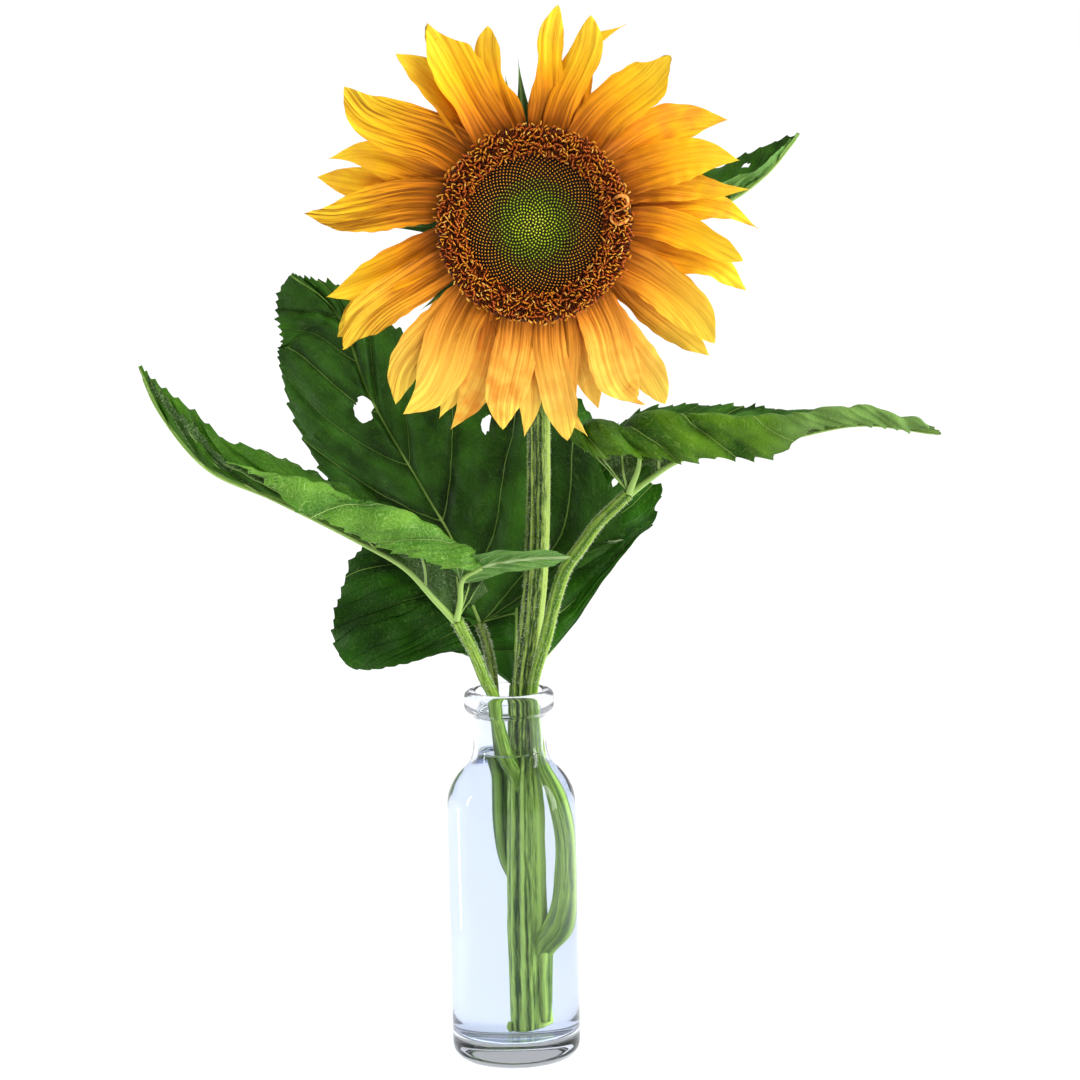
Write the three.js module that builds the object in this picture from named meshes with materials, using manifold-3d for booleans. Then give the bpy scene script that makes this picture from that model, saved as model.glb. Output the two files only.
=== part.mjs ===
// A cut sunflower standing in a clear glass bottle of water.
// Millimetres, +Z up. The origin is the centre of the bottle's flat underside, and the bloom faces -Y.

import * as THREE from 'three';
import { mergeVertices } from 'three/addons/utils/BufferGeometryUtils.js';
import Module from 'manifold-3d';

const wasm = await Module();
wasm.setup();

const { degToRad, lerp, smoothstep } = THREE.MathUtils;

// ---- Driving dimensions ----

const GAP = 0.3; // kept between pieces that touch

const BOTTLE = {
  height: 168,
  radius: 29,
  wall: 2.6,
  floor: 10.5,
  heel: 4,
  shoulderStart: 117,
  shoulderEnd: 138,
  neckRadius: 16.4,
  neckWall: 2,
  lipRadius: 20.3,
  lipHeight: 9,
  sides: 24,
};

const WATER_LEVEL = 139.5;

const LIMB = { sides: 8, stemSides: 10, pitch: 15 };

const HEAD = {
  centre: [16, -45, 378],
  lookUp: 3, // degrees
  columnRadius: 36.5,
  cupRadius: 40.5,
  depth: 30.5,
  backRadius: 6.5,
  rimInner: 28.7,
  rimOuter: 41,
  sides: 28,
};

// Depths on the head's own axis, from the disc's face towards the stem.
const LAYER = { discBase: -2, firstPetal: -2.75, pitch: 1.15, bracts: -7.55, shoulder: -8.5 };

const PETAL = { thickness: 0.8, rows: 6, cut: 0.93, fullness: 1.15, droop: 12, tilt: 5 };

// Ray petals: direction of the tip (degrees, 0 to the right, 90 up), reach from the head's axis, width,
// and layer, 0 being the front one.
const PETALS = [
  [8, 93, 14, 1],
  [16, 91, 18, 0],
  [27, 94, 20, 2],
  [50, 92, 20, 0],
  [64, 93, 15, 2],
  [73.5, 91, 13, 0],
  [82.5, 93, 16, 1],
  [102, 86, 13, 2],
  [117, 97, 22, 0],
  [128, 93, 18, 1],
  [143, 99, 21, 0],
  [161.5, 93, 18, 1],
  [166.5, 95, 15, 2],
  [170.5, 80, 15, 3],
  [176, 98, 19, 0],
  [198, 94, 18, 1],
  [208.5, 97, 17, 2],
  [212, 98, 18, 0],
  [231, 97, 18, 1],
  [234, 98, 21, 0],
  [242.5, 93, 15, 3],
  [246.5, 95, 18, 2],
  [260, 88, 18, 0],
  [266, 91, 14, 1],
  [277.5, 93, 14, 0],
  [283, 93, 14, 1],
  [288, 84, 14, 3],
  [300.5, 90, 20, 0],
  [305, 95, 17, 1],
  [322, 94, 16, 2],
  [325.5, 92, 19, 0],
  [341.5, 95, 15, 1],
  [349, 90, 14, 0],
  [357.5, 96, 16, 2],
];

const BRACTS = { count: 22, reach: 75, valley: 52, thickness: 1.2, sweep: 0.22 };

const LEAF = { thickness: 1.2, teeth: 9, tooth: 2.4, taper: 1.05, veinEnd: 0.62 };

// ---- Colours ----

const finish = (color, roughness) => new THREE.MeshStandardMaterial({ color, roughness, metalness: 0 });

const COLOURS = {
  glass: () => new THREE.MeshStandardMaterial({ color: 0xe2eaf5, roughness: 0.05, transparent: true, opacity: 0.3 }),
  water: () => new THREE.MeshStandardMaterial({ color: 0xe6eff6, roughness: 0.05, transparent: true, opacity: 0.3 }),
  stem: () => finish(0x7c9a3a, 0.6),
  leaf: () => finish(0x1f5a22, 0.55),
  petal: () => finish(0xf5ad1c, 0.6),
  disc: () => finish(0x5b3a12, 0.8),
  rim: () => finish(0x8a4a16, 0.85),
  bract: () => finish(0x3f7029, 0.6),
};

const sunflower = new THREE.Group();

function addMesh(name, geometry, material, parent = sunflower) {
  const mesh = new THREE.Mesh(geometry, material());
  mesh.name = name;
  parent.add(mesh);
  return mesh;
}

// ---- Closed geometry ----

/** A geometry from positions and triangles, with coincident corners merged and collapsed triangles left out. */
function closedGeometry(positions, triangles) {
  const raw = new THREE.BufferGeometry();
  raw.setAttribute('position', new THREE.Float32BufferAttribute(positions, 3));
  raw.setIndex(triangles);
  return weld(raw);
}

function weld(source) {
  const bare = source.clone();
  bare.deleteAttribute('normal');
  bare.deleteAttribute('uv');
  const merged = mergeVertices(bare, 1e-3);
  const index = merged.getIndex().array;
  const kept = [];
  for (let i = 0; i < index.length; i += 3) {
    const [a, b, c] = [index[i], index[i + 1], index[i + 2]];
    if (a !== b && b !== c && c !== a) {
      kept.push(a, b, c);
    }
  }
  merged.setIndex(kept);
  return merged;
}

function toManifold(geometry) {
  const solid = weld(geometry);
  return new wasm.Manifold(new wasm.Mesh({
    numProp: 3,
    vertProperties: new Float32Array(solid.getAttribute('position').array),
    triVerts: new Uint32Array(solid.getIndex().array),
  }));
}

/** The largest piece of a geometry once the cutters are taken out of it. */
function carve(geometry, cutters) {
  let solid = toManifold(geometry);
  for (const cutter of cutters) {
    solid = solid.subtract(toManifold(cutter));
  }
  const pieces = solid.decompose();
  pieces.sort((a, b) => b.volume() - a.volume());
  const mesh = pieces[0].getMesh();
  return closedGeometry(Array.from(mesh.vertProperties), Array.from(mesh.triVerts));
}

/** A solid of revolution about +Z from [radius, height] corners that start and end on the axis. */
function turned(profile, sides) {
  const points = profile.map(([radius, height]) => new THREE.Vector2(radius, height));
  const geometry = new THREE.LatheGeometry(points, sides);
  geometry.rotateX(Math.PI / 2);
  return weld(geometry);
}

// ---- Limbs: the stem and the leaf stalks ----

const vector = ([x, y, z]) => new THREE.Vector3(x, y, z);

/** A tapering round limb along a smooth curve, with flat ends. Each stop is [x, y, z, radius]. */
function limb(stops, sides = LIMB.sides, grow = 0) {
  const curve = new THREE.CatmullRomCurve3(stops.map(vector), false, 'centripetal');
  const steps = Math.max(4, Math.round(curve.getLength() / LIMB.pitch));
  const frames = curve.computeFrenetFrames(steps);
  const positions = [];
  const triangles = [];
  for (let i = 0; i <= steps; i++) {
    const share = curve.getUtoTmapping(i / steps) * (stops.length - 1);
    const stop = Math.min(Math.floor(share), stops.length - 2);
    const radius = lerp(stops[stop][3], stops[stop + 1][3], share - stop) + grow;
    const centre = curve.getPointAt(i / steps);
    const overrun = i === 0 ? -grow : i === steps ? grow : 0;
    centre.addScaledVector(frames.tangents[i], overrun);
    for (let k = 0; k < sides; k++) {
      const angle = (2 * Math.PI * k) / sides;
      const corner = centre.clone()
        .addScaledVector(frames.normals[i], radius * Math.cos(angle))
        .addScaledVector(frames.binormals[i], radius * Math.sin(angle));
      positions.push(corner.x, corner.y, corner.z);
    }
  }
  for (let i = 0; i < steps; i++) {
    for (let k = 0; k < sides; k++) {
      const [a, b] = [i * sides + k, i * sides + ((k + 1) % sides)];
      triangles.push(a, b, b + sides, a, b + sides, a + sides);
    }
  }
  const last = steps * sides;
  for (let k = 1; k < sides - 1; k++) {
    triangles.push(0, k + 1, k, last, last + k, last + k + 1);
  }
  return closedGeometry(positions, triangles);
}

// ---- Blades: leaves and petals ----

/** The axes of a blade at a distance along its midrib: forward, up from its upper face, and to its right. */
function bladeFrame(blade, along) {
  const { curve, length } = blade;
  const share = THREE.MathUtils.clamp(along / length, 0, 1);
  const forward = curve.getTangentAt(share);
  const up = vector(blade.face).addScaledVector(forward, -vector(blade.face).dot(forward)).normalize();
  const right = forward.clone().cross(up);
  const foot = curve.getPointAt(share);
  if (along < 0) {
    foot.addScaledVector(vector(blade.heel).normalize(), -along);
  }
  return { foot, up, right, share };
}

/**
 * A point of the blade's surface, lifted off it by half a thickness. Each half leaves the midrib at its rise
 * and bends at an even rate to its margin. Both are [base, tip] pairs in degrees.
 */
function bladePoint(blade, half, along, across, lift) {
  const { foot, up, right, share } = bladeFrame(blade, along);
  const rise = degToRad(lerp(half.rise[0], half.rise[1], share));
  const bend = degToRad(lerp(half.bend[0], half.bend[1], share)) / half.width;
  const angle = rise + bend * across;
  const straight = Math.abs(bend) < 1e-4;
  const out = straight ? across * Math.cos(rise) : (Math.sin(angle) - Math.sin(rise)) / bend;
  const high = straight ? across * Math.sin(rise) : (Math.cos(rise) - Math.cos(angle)) / bend;
  const lean = across > 0 ? angle : 0;
  return foot
    .addScaledVector(right, half.side * (out - lift * Math.sin(lean)))
    .addScaledVector(up, high + lift * Math.cos(lean));
}

/** A thin closed blade. outline(half, t) gives [foot, along, across] from the tip, t = 0, to the base, t = 1. */
function bladeGeometry(blade, halves, outline, rows, columns, thickness) {
  const positions = [];
  const triangles = [];
  for (const half of halves) {
    const start = positions.length / 3;
    for (let i = 0; i <= rows; i++) {
      const [foot, along, across] = outline(half, i / rows, i);
      for (let j = 0; j <= columns; j++) {
        const share = j / columns;
        for (const lift of [thickness / 2, -thickness / 2]) {
          const point = bladePoint(blade, half, lerp(foot, along, share), across * share, lift);
          positions.push(point.x, point.y, point.z);
        }
      }
    }
    const at = (i, j, below) => start + 2 * (i * (columns + 1) + j) + below;
    const quad = (a, b, c, d) => {
      triangles.push(...(half.side > 0 ? [a, c, b, a, d, c] : [a, b, c, a, c, d]));
    };
    for (let i = 0; i < rows; i++) {
      for (let j = 0; j < columns; j++) {
        quad(at(i, j, 0), at(i, j + 1, 0), at(i + 1, j + 1, 0), at(i + 1, j, 0));
        quad(at(i, j, 1), at(i + 1, j, 1), at(i + 1, j + 1, 1), at(i, j + 1, 1));
      }
      quad(at(i, columns, 0), at(i, columns, 1), at(i + 1, columns, 1), at(i + 1, columns, 0));
    }
    for (let j = 0; j < columns; j++) {
      quad(at(rows, j, 0), at(rows, j + 1, 0), at(rows, j + 1, 1), at(rows, j, 1));
    }
  }
  return closedGeometry(positions, triangles);
}

const alongBlade = (length, lobe, t) => lerp(-lobe, length, (1 + Math.cos(Math.PI * t)) / 2);

/** A leaf: a toothed heart shape whose side veins sweep forward from its midrib. */
function leafGeometry(leaf) {
  const curve = new THREE.CatmullRomCurve3(leaf.midrib.map(vector), false, 'centripetal');
  const length = curve.getLength();
  const blade = { ...leaf, curve, length };
  const outline = (half, t, row) => {
    const tooth = row % 2 ? LEAF.tooth : 0;
    const sinus = smoothstep(t, 0.8, 1);
    const along = alongBlade(length, half.lobe, t) + half.lobe * sinus;
    const heart = half.width * Math.sin(Math.PI * t ** half.fullness) ** (half.taper ?? LEAF.taper);
    const across = lerp(heart, half.collar, sinus);
    const foot = length * Math.max(0, 1 - t / LEAF.veinEnd) ** 1.1;
    return [foot, along + tooth * 0.6, across + tooth];
  };
  return bladeGeometry(blade, leaf.halves, outline, 2 * LEAF.teeth, leaf.columns, LEAF.thickness);
}

// ---- Bottle and water ----

function buildBottle() {
  const { height, radius, heel, shoulderStart, shoulderEnd, neckRadius, neckWall } = BOTTLE;
  const { lipRadius, lipHeight, sides } = BOTTLE;
  const lipBottom = height - lipHeight;
  const outside = [
    [0, 0],
    [radius - heel, 0],
    [radius - heel * 0.3, heel * 0.3],
    [radius, heel],
    [radius, shoulderStart],
    [radius - 1.6, shoulderStart + 6],
    [radius - 5.2, shoulderStart + 12.5],
    [neckRadius + 2, shoulderEnd - 2.5],
    [neckRadius, shoulderEnd + 2],
    [neckRadius, lipBottom - 1],
    [lipRadius - 1, lipBottom + 0.5],
    [lipRadius, lipBottom + 2.5],
    [lipRadius, height - 2.5],
    [lipRadius - 2, height],
  ];
  const inside = [
    [neckRadius - neckWall + 1, height],
    [neckRadius - neckWall, height - 1.5],
    ...waterside(0, height).reverse(),
  ];
  addMesh('bottle', turned([...outside, ...inside], sides), COLOURS.glass);
}

/** The inner wall from the middle of the floor to the neck, drawn in by a gap, up to a height. */
function waterside(gap, top) {
  const { radius, wall, floor, shoulderStart, shoulderEnd, neckRadius, neckWall } = BOTTLE;
  const inner = radius - wall - gap;
  const neck = neckRadius - neckWall - gap;
  const wallPoints = [
    [0, floor + gap],
    [inner - 2.5, floor + gap],
    [inner, floor + gap + 2.5],
    [inner, shoulderStart - 1],
    [inner - 1.8, shoulderStart + 5],
    [inner - 5.4, shoulderStart + 11.5],
    [neck + 2, shoulderEnd - 4],
    [neck, shoulderEnd],
  ];
  return wallPoints.filter(([, z]) => z < top);
}

function buildWater(stalks) {
  const neck = BOTTLE.neckRadius - BOTTLE.neckWall - GAP;
  const profile = [...waterside(GAP, WATER_LEVEL), [neck, WATER_LEVEL], [0, WATER_LEVEL]];
  addMesh('water', carve(turned(profile, BOTTLE.sides), stalks), COLOURS.water);
}

// ---- Stem and leaf stalks ----

const STEM = [
  [4.6, 9, 11.3, 6.2],
  [4.2, 5, 60, 6.3],
  [4.6, 2, 110, 6.0],
  [5.4, 2, 140, 5.5],
  [6.6, 2.2, 168, 5.0],
  [9.6, 2, 190, 5.0],
  [12.6, 1, 213, 5.1],
  [14.2, 0, 234, 5.2],
  [15.8, 0, 276, 5.0],
  [16, 1, 340, 4.9],
];

/** A stop of the stem on the head's axis, behind its face. */
function behindHead(distance, radius) {
  const [x, y, z] = HEAD.centre;
  const angle = degToRad(HEAD.lookUp);
  return [x, y + distance * Math.cos(angle), z - distance * Math.sin(angle), radius];
}

const STEM_NECK = [
  [16, 1, 340.3, 4.9],
  [16, 1.5, 354, 5.0],
  [16, -1, 366, 5.3],
  behindHead(HEAD.depth + 7, 5.9),
  behindHead(HEAD.depth + 3, 6.2),
  behindHead(HEAD.depth + GAP, 6.4),
];

const STALKS = {
  stalk_left: [
    [2, -0.5, 126, 3.0],
    [-1.5, -3.5, 138, 3.2],
    [-4.6, -5.5, 152, 2.9],
    [-6.6, -7.5, 166, 2.7],
    [-10.4, -10.5, 175, 2.6],
    [-15.4, -14, 189, 2.6],
    [-21.9, -18, 203, 2.7],
  ],
  stalk_back: [
    [-1.8, 7.5, 88, 1.9],
    [-5.2, 6, 104, 2.4],
    [-7, 5.5, 136, 2.4],
    [-7.6, 6.5, 160, 2.3],
    [-7, 8, 172, 2.2],
    [-9.4, 13, 186, 2.2],
    [-12.5, 18, 195, 2.3],
  ],
  stalk_low: [
    [3.5, 4, 112, 2.0],
    [2, 8.5, 130, 2.2],
    [1.2, 10, 150, 2.2],
    [2.6, 11, 167, 2.2],
  ],
  stalk_right_bottom: [
    [5, 3, 52, 3.4],
    [12, 0.5, 58, 4.0],
    [17.5, -1, 68, 3.9],
    [19.4, -2, 84, 3.6],
    [18.2, -2.5, 102, 3.4],
    [13.8, -3, 121, 2.9],
    [11.3, -3.2, 134, 2.4],
  ],
  stalk_right_top: [
    [11.2, -3.2, 134.5, 2.3],
    [10.9, -3.3, 150, 2.2],
    [11, -3.5, 169, 2.2],
    [17, -7.5, 192, 2.9],
    [26.2, -13, 223.5, 2.9],
    [34, -16, 235, 2.9],
    [41, -18, 245, 2.8],
    [48, -20, 252, 2.7],
    [54.5, -21.8, 258.4, 2.6],
  ],
  stalk_top: [
    [17, 3, 322, 2.2],
    [22, 9, 338, 2.2],
    [33, 15, 358, 2.1],
    [47, 19, 372, 2.0],
  ],
};

/** Every stalk is cut to fit round the limbs that carry it or pass it, with a gap. */
function buildLimbs() {
  const solids = { stem: [limb(STEM, LIMB.stemSides), limb(STEM, LIMB.stemSides, GAP)] };
  addMesh('stem', solids.stem[0], COLOURS.stem);
  solids.stem_neck = [limb(STEM_NECK, LIMB.stemSides), limb(STEM_NECK, LIMB.stemSides, GAP)];
  addMesh('stem_neck', solids.stem_neck[0], COLOURS.stem);
  for (const [name, stops] of Object.entries(STALKS)) {
    const cutters = Object.entries(solids).filter(([other]) => other !== 'stem_neck').map(([, pair]) => pair[1]);
    solids[name] = [carve(limb(stops), cutters), limb(stops, LIMB.sides, GAP)];
    addMesh(name, solids[name][0], COLOURS.stem);
  }
  return Object.fromEntries(Object.entries(solids).map(([name, pair]) => [name, pair[1]]));
}

// ---- Leaves ----

/**
 * Each leaf has its midrib from stalk to tip, the way its upper face looks, and the way its basal lobes run.
 * A half is its side (1 to the right of the midrib, seen from above and looking to the tip), its width, how far
 * its lobe runs past the stalk, its collar (where the blade starts, up its first side vein), how near the stalk
 * it is fullest (1 is halfway), and its rise and bend.
 */
const LEAVES = {
  leaf_left: {
    columns: 3,
    midrib: [
      [-22.1, -18.1, 203.2],
      [-30.8, -22, 213.6],
      [-43.3, -27, 228.5],
      [-62, -33, 241],
      [-99, -43, 262.3],
      [-126.5, -50, 277],
      [-146, -54, 303],
      [-153.7, -55, 322],
    ],
    face: [0.4, 0, 0.92],
    heel: [1, -0.1, 0.6],
    halves: [
      { side: -1, width: 62, lobe: 46, collar: 24, fullness: 1.7, rise: [86, 70], bend: [-112, -90] },
      { side: 1, width: 36, lobe: 8, collar: 5, fullness: 1.6, rise: [28, -6], bend: [-20, -10] },
    ],
  },
  leaf_back: {
    columns: 2,
    midrib: [
      [-12.6, 18.3, 195.4],
      [-18, 24, 210],
      [-23, 30, 229],
      [-37, 38, 254],
      [-60, 48, 295],
      [-76, 56, 335],
      [-96, 60, 351.6],
    ],
    face: [0, -1, 0.15],
    heel: [0.3, 0.2, -1],
    halves: [
      { side: -1, width: 36, lobe: 0, collar: 4, fullness: 0.8, rise: [10, 6], bend: [-10, -6] },
      { side: 1, width: 76, lobe: 8, collar: 4, fullness: 1.6, rise: [4, 4], bend: [8, 4] },
    ],
  },
  leaf_low: {
    columns: 2,
    midrib: [
      [2.6, 11.2, 167.5],
      [3.6, 20, 186],
      [4.6, 32, 206],
      [6, 52, 240],
      [8, 70, 280],
      [10, 84, 315],
    ],
    face: [0, -1, 0.4],
    heel: [0, 0, -1],
    halves: [
      { side: -1, width: 84, lobe: 4, collar: 2, fullness: 1.9, rise: [4, 4], bend: [-6, 0] },
      { side: 1, width: 66, lobe: 0, collar: 2, fullness: 0.8, taper: 3, rise: [8, 4], bend: [-14, 0] },
    ],
  },
  leaf_right: {
    columns: 3,
    midrib: [
      [54.8, -22, 258.8],
      [64, -22.5, 265.5],
      [74, -24, 272],
      [92, -28, 278.5],
      [120, -32, 282],
      [155, -36, 288],
      [189.3, -40, 283.4],
    ],
    face: [-0.2, 0, 1],
    heel: [-0.8, 0.05, 0.5],
    halves: [
      { side: 1, width: 52, lobe: 20, collar: 16, fullness: 2.4, rise: [86, 30], bend: [-110, -240] },
      { side: -1, width: 44, lobe: 6, collar: 5, fullness: 1.5, rise: [28, 14], bend: [-26, -10] },
    ],
  },
  leaf_top: {
    columns: 2,
    midrib: [
      [47.2, 19, 372.4],
      [72, 21, 374],
      [99, 21, 381],
      [119, 20.5, 394],
      [134.6, 20, 411.8],
    ],
    face: [-0.4, 0, 0.9],
    heel: [-1, 0, 0],
    halves: [
      { side: 1, width: 16, lobe: 2, collar: 2, fullness: 1.4, rise: [64, 50], bend: [-20, -20] },
      { side: -1, width: 26, lobe: 2, collar: 2, fullness: 1.4, rise: [44, 30], bend: [-10, -10] },
    ],
  },
};

function buildLeaves(stalks) {
  for (const [name, leaf] of Object.entries(LEAVES)) {
    addMesh(name, carve(leafGeometry(leaf), Object.values(stalks)), COLOURS.leaf);
  }
}

// ---- Head ----

const onHead = (degrees, radius, depth) => [
  radius * Math.cos(degToRad(degrees)),
  radius * Math.sin(degToRad(degrees)),
  depth,
];

/** A petal, its root cut to fit round the receptacle's column. */
function petalGeometry([direction, reach, width, layer], column) {
  const cutOff = (1 + Math.cos(Math.PI * PETAL.cut)) / 2; // the share of its length lost at its blunt root
  const root = HEAD.columnRadius - 1 - cutOff * (reach - HEAD.columnRadius);
  const base = LAYER.firstPetal - LAYER.pitch * layer;
  const slope = Math.tan(degToRad(PETAL.tilt * (1 - layer)));
  const hang = PETAL.droop * Math.cos(degToRad(direction));
  const stops = [0, 0.12, 0.4, 0.7, 1].map((share) => {
    const radius = lerp(root, reach, share);
    const past = Math.max(0, radius - HEAD.rimOuter);
    return onHead(direction + hang * (1 - share) ** 1.5, radius, base + slope * past);
  });
  const curve = new THREE.CatmullRomCurve3(stops.map(vector), false, 'centripetal');
  const blade = { curve, length: curve.getLength(), face: [0, 0, 1], heel: [0, 0, -1] };
  const outline = (side, t) => {
    const along = alongBlade(blade.length, 0, t * PETAL.cut);
    const across = side.width * Math.sin(Math.PI * (t * PETAL.cut) ** PETAL.fullness) ** 1.1;
    return [along, along, across];
  };
  const halves = [1, -1].map((side) => ({ side, width: width / 2, rise: [3, 0], bend: [0, 0] }));
  return carve(bladeGeometry(blade, halves, outline, PETAL.rows, 1, PETAL.thickness), [column]);
}

/** One star-shaped ring of pointed bracts behind the petals, swept back towards the stem. */
function bractGeometry() {
  const { count, reach, valley, thickness, sweep } = BRACTS;
  const { columnRadius, cupRadius } = HEAD;
  const spokes = 2 * count;
  const rings = 3;
  const positions = [];
  const triangles = [];
  for (let i = 0; i < spokes; i++) {
    for (const radius of [columnRadius + GAP, cupRadius + 1, i % 2 ? valley : reach]) {
      const depth = LAYER.bracts - sweep * (radius - columnRadius);
      positions.push(...onHead((360 * i) / spokes, radius, depth + thickness / 2));
      positions.push(...onHead((360 * i) / spokes, radius, depth - thickness / 2));
    }
  }
  const at = (i, ring, below) => 2 * ((i % spokes) * rings + ring) + below;
  const quad = (a, b, c, d) => triangles.push(a, b, c, a, c, d);
  for (let i = 0; i < spokes; i++) {
    for (let ring = 0; ring < rings - 1; ring++) {
      quad(at(i, ring, 0), at(i, ring + 1, 0), at(i + 1, ring + 1, 0), at(i + 1, ring, 0));
      quad(at(i, ring, 1), at(i + 1, ring, 1), at(i + 1, ring + 1, 1), at(i, ring + 1, 1));
    }
    quad(at(i, rings - 1, 0), at(i, rings - 1, 1), at(i + 1, rings - 1, 1), at(i + 1, rings - 1, 0));
    quad(at(i, 0, 0), at(i + 1, 0, 0), at(i + 1, 0, 1), at(i, 0, 1));
  }
  return closedGeometry(positions, triangles);
}

function buildHead() {
  const head = new THREE.Group();
  head.position.set(...HEAD.centre);
  head.rotation.x = degToRad(90 - HEAD.lookUp);
  sunflower.add(head);

  const { columnRadius, cupRadius, depth, backRadius, rimInner, rimOuter, sides } = HEAD;
  const cup = [
    [0, -depth],
    [backRadius, -depth],
    [15, -depth + 1.5],
    [27, -depth + 6],
    [36, -depth + 13],
    [cupRadius, LAYER.shoulder - 4],
    [cupRadius, LAYER.shoulder - BRACTS.sweep * (cupRadius - columnRadius)],
    [columnRadius, LAYER.shoulder],
    [columnRadius, LAYER.discBase - GAP],
    [0, LAYER.discBase - GAP],
  ];
  addMesh('receptacle', turned(cup, sides), COLOURS.bract, head);

  const rim = [
    [rimInner, LAYER.discBase],
    [columnRadius, LAYER.discBase],
    [rimOuter, LAYER.discBase + 1.4],
    [rimOuter + 1, 2],
    [rimOuter - 2.5, 5.5],
    [rimInner + 4, 5.5],
    [rimInner, 2.5],
    [rimInner, LAYER.discBase],
  ];
  addMesh('disc_rim', turned(rim, sides), COLOURS.rim, head);

  const centre = [
    [0, LAYER.discBase],
    [rimInner - GAP, LAYER.discBase],
    [rimInner - GAP, 1.4],
    [20, 2.4],
    [10, 2.2],
    [0, 1.6],
  ];
  addMesh('disc_centre', turned(centre, sides), COLOURS.disc, head);

  const column = turned([[0, -depth], [columnRadius + GAP, -depth], [columnRadius + GAP, 0], [0, 0]], sides);
  PETALS.forEach((petal, i) => {
    addMesh(`petal_${String(i + 1).padStart(2, '0')}`, petalGeometry(petal, column), COLOURS.petal, head);
  });
  addMesh('bracts', bractGeometry(), COLOURS.bract, head);
}

buildBottle();
const stalks = buildLimbs();
buildWater(Object.values(stalks));
buildLeaves(stalks);
buildHead();

export default sunflower;
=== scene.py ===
"""Looks of a cut sunflower in a glass bottle of water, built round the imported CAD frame.

Shapes are worked out in millimetres and become metres in add_piece. +Z is up and the bloom faces -Y.
"""
import math

import bmesh
import bpy
import numpy as np
from mathutils import Matrix, Vector


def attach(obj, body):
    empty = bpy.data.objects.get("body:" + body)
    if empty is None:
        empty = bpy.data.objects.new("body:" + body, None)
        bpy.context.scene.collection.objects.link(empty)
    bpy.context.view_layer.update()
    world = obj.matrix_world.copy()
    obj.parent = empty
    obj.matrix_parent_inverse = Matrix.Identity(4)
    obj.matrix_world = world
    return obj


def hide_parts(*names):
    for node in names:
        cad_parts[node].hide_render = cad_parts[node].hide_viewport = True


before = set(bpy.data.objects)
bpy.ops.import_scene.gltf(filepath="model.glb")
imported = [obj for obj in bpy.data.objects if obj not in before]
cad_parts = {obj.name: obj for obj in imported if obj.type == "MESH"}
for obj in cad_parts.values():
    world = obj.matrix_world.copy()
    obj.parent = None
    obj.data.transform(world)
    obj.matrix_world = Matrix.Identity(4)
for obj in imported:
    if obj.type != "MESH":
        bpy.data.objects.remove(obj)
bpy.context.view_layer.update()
MM = 0.001
BODY = "root"

# ---- Camera ----

CAMERA = {"aim": (15.5, 0, 235.5), "distance": 1500, "lift": 8.5, "roll": -1.25, "lens": 112.4}


def add_object(name, data):
    made = bpy.data.objects.new(name, data)
    bpy.context.scene.collection.objects.link(made)
    return made


def facing(place, aim):
    """The matrix of a lamp or camera that stands at place and looks at aim."""
    turn = (Vector(aim) - Vector(place)).to_track_quat("-Z", "Y")
    return Matrix.Translation(place) @ turn.to_matrix().to_4x4()


def add_camera():
    lift = math.radians(CAMERA["lift"])
    aim = Vector(CAMERA["aim"]) * MM
    away = Vector((0, -math.cos(lift), math.sin(lift)))
    camera = add_object("camera", bpy.data.cameras.new("camera"))
    turn = (-away).to_track_quat("-Z", "Y").to_matrix().to_4x4()
    roll = Matrix.Rotation(math.radians(CAMERA["roll"]), 4, "Z")
    camera.matrix_world = Matrix.Translation(aim + away * CAMERA["distance"] * MM) @ turn @ roll
    camera.data.lens = CAMERA["lens"]
    camera.data.clip_end = 200
    bpy.context.scene.camera = camera


# ---- Small helpers ----

CURVE_SAMPLES = 60  # between two stops


def unit(vectors):
    return vectors / np.maximum(np.linalg.norm(vectors, axis=-1, keepdims=True), 1e-12)


def smoothstep(value, low, high):
    share = np.clip((value - low) / (high - low), 0, 1)
    return share * share * (3 - 2 * share)


def lerp(a, b, share):
    return a + (b - a) * share


def spread(share, values):
    """A smooth run through evenly spaced values, from the base (0) to the tip (1)."""
    values = np.atleast_1d(np.array(values, float))
    if len(values) == 1:
        return np.full(np.shape(share), values[0])
    padded = np.concatenate([[2 * values[0] - values[1]], values, [2 * values[-1] - values[-2]]])
    place = np.clip(share, 0, 1) * (len(values) - 1)
    first = np.minimum(place.astype(int), len(values) - 2)
    f = place - first
    a, b, c, d = (padded[first + k] for k in range(4))
    return b + 0.5 * f * (c - a + f * (2 * a - 5 * b + 4 * c - d + f * (3 * (b - c) + d - a)))


class Waves:
    """Smooth seeded noise in two dimensions: a sum of slanted waves, each about `size` mm long."""

    def __init__(self, seed, size, count=7):
        rng = np.random.default_rng(seed)
        heading = rng.uniform(0, 2 * math.pi, count)
        pitch = 2 * math.pi / (size * rng.uniform(0.6, 1.6, count))
        self.waves = list(zip(pitch * np.cos(heading), pitch * np.sin(heading),
                              rng.uniform(0, 2 * math.pi, count)))

    def __call__(self, u, v):
        total = 0
        for across, along, phase in self.waves:
            total = total + np.sin(u * across + v * along + phase)
        return total / math.sqrt(len(self.waves))


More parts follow.
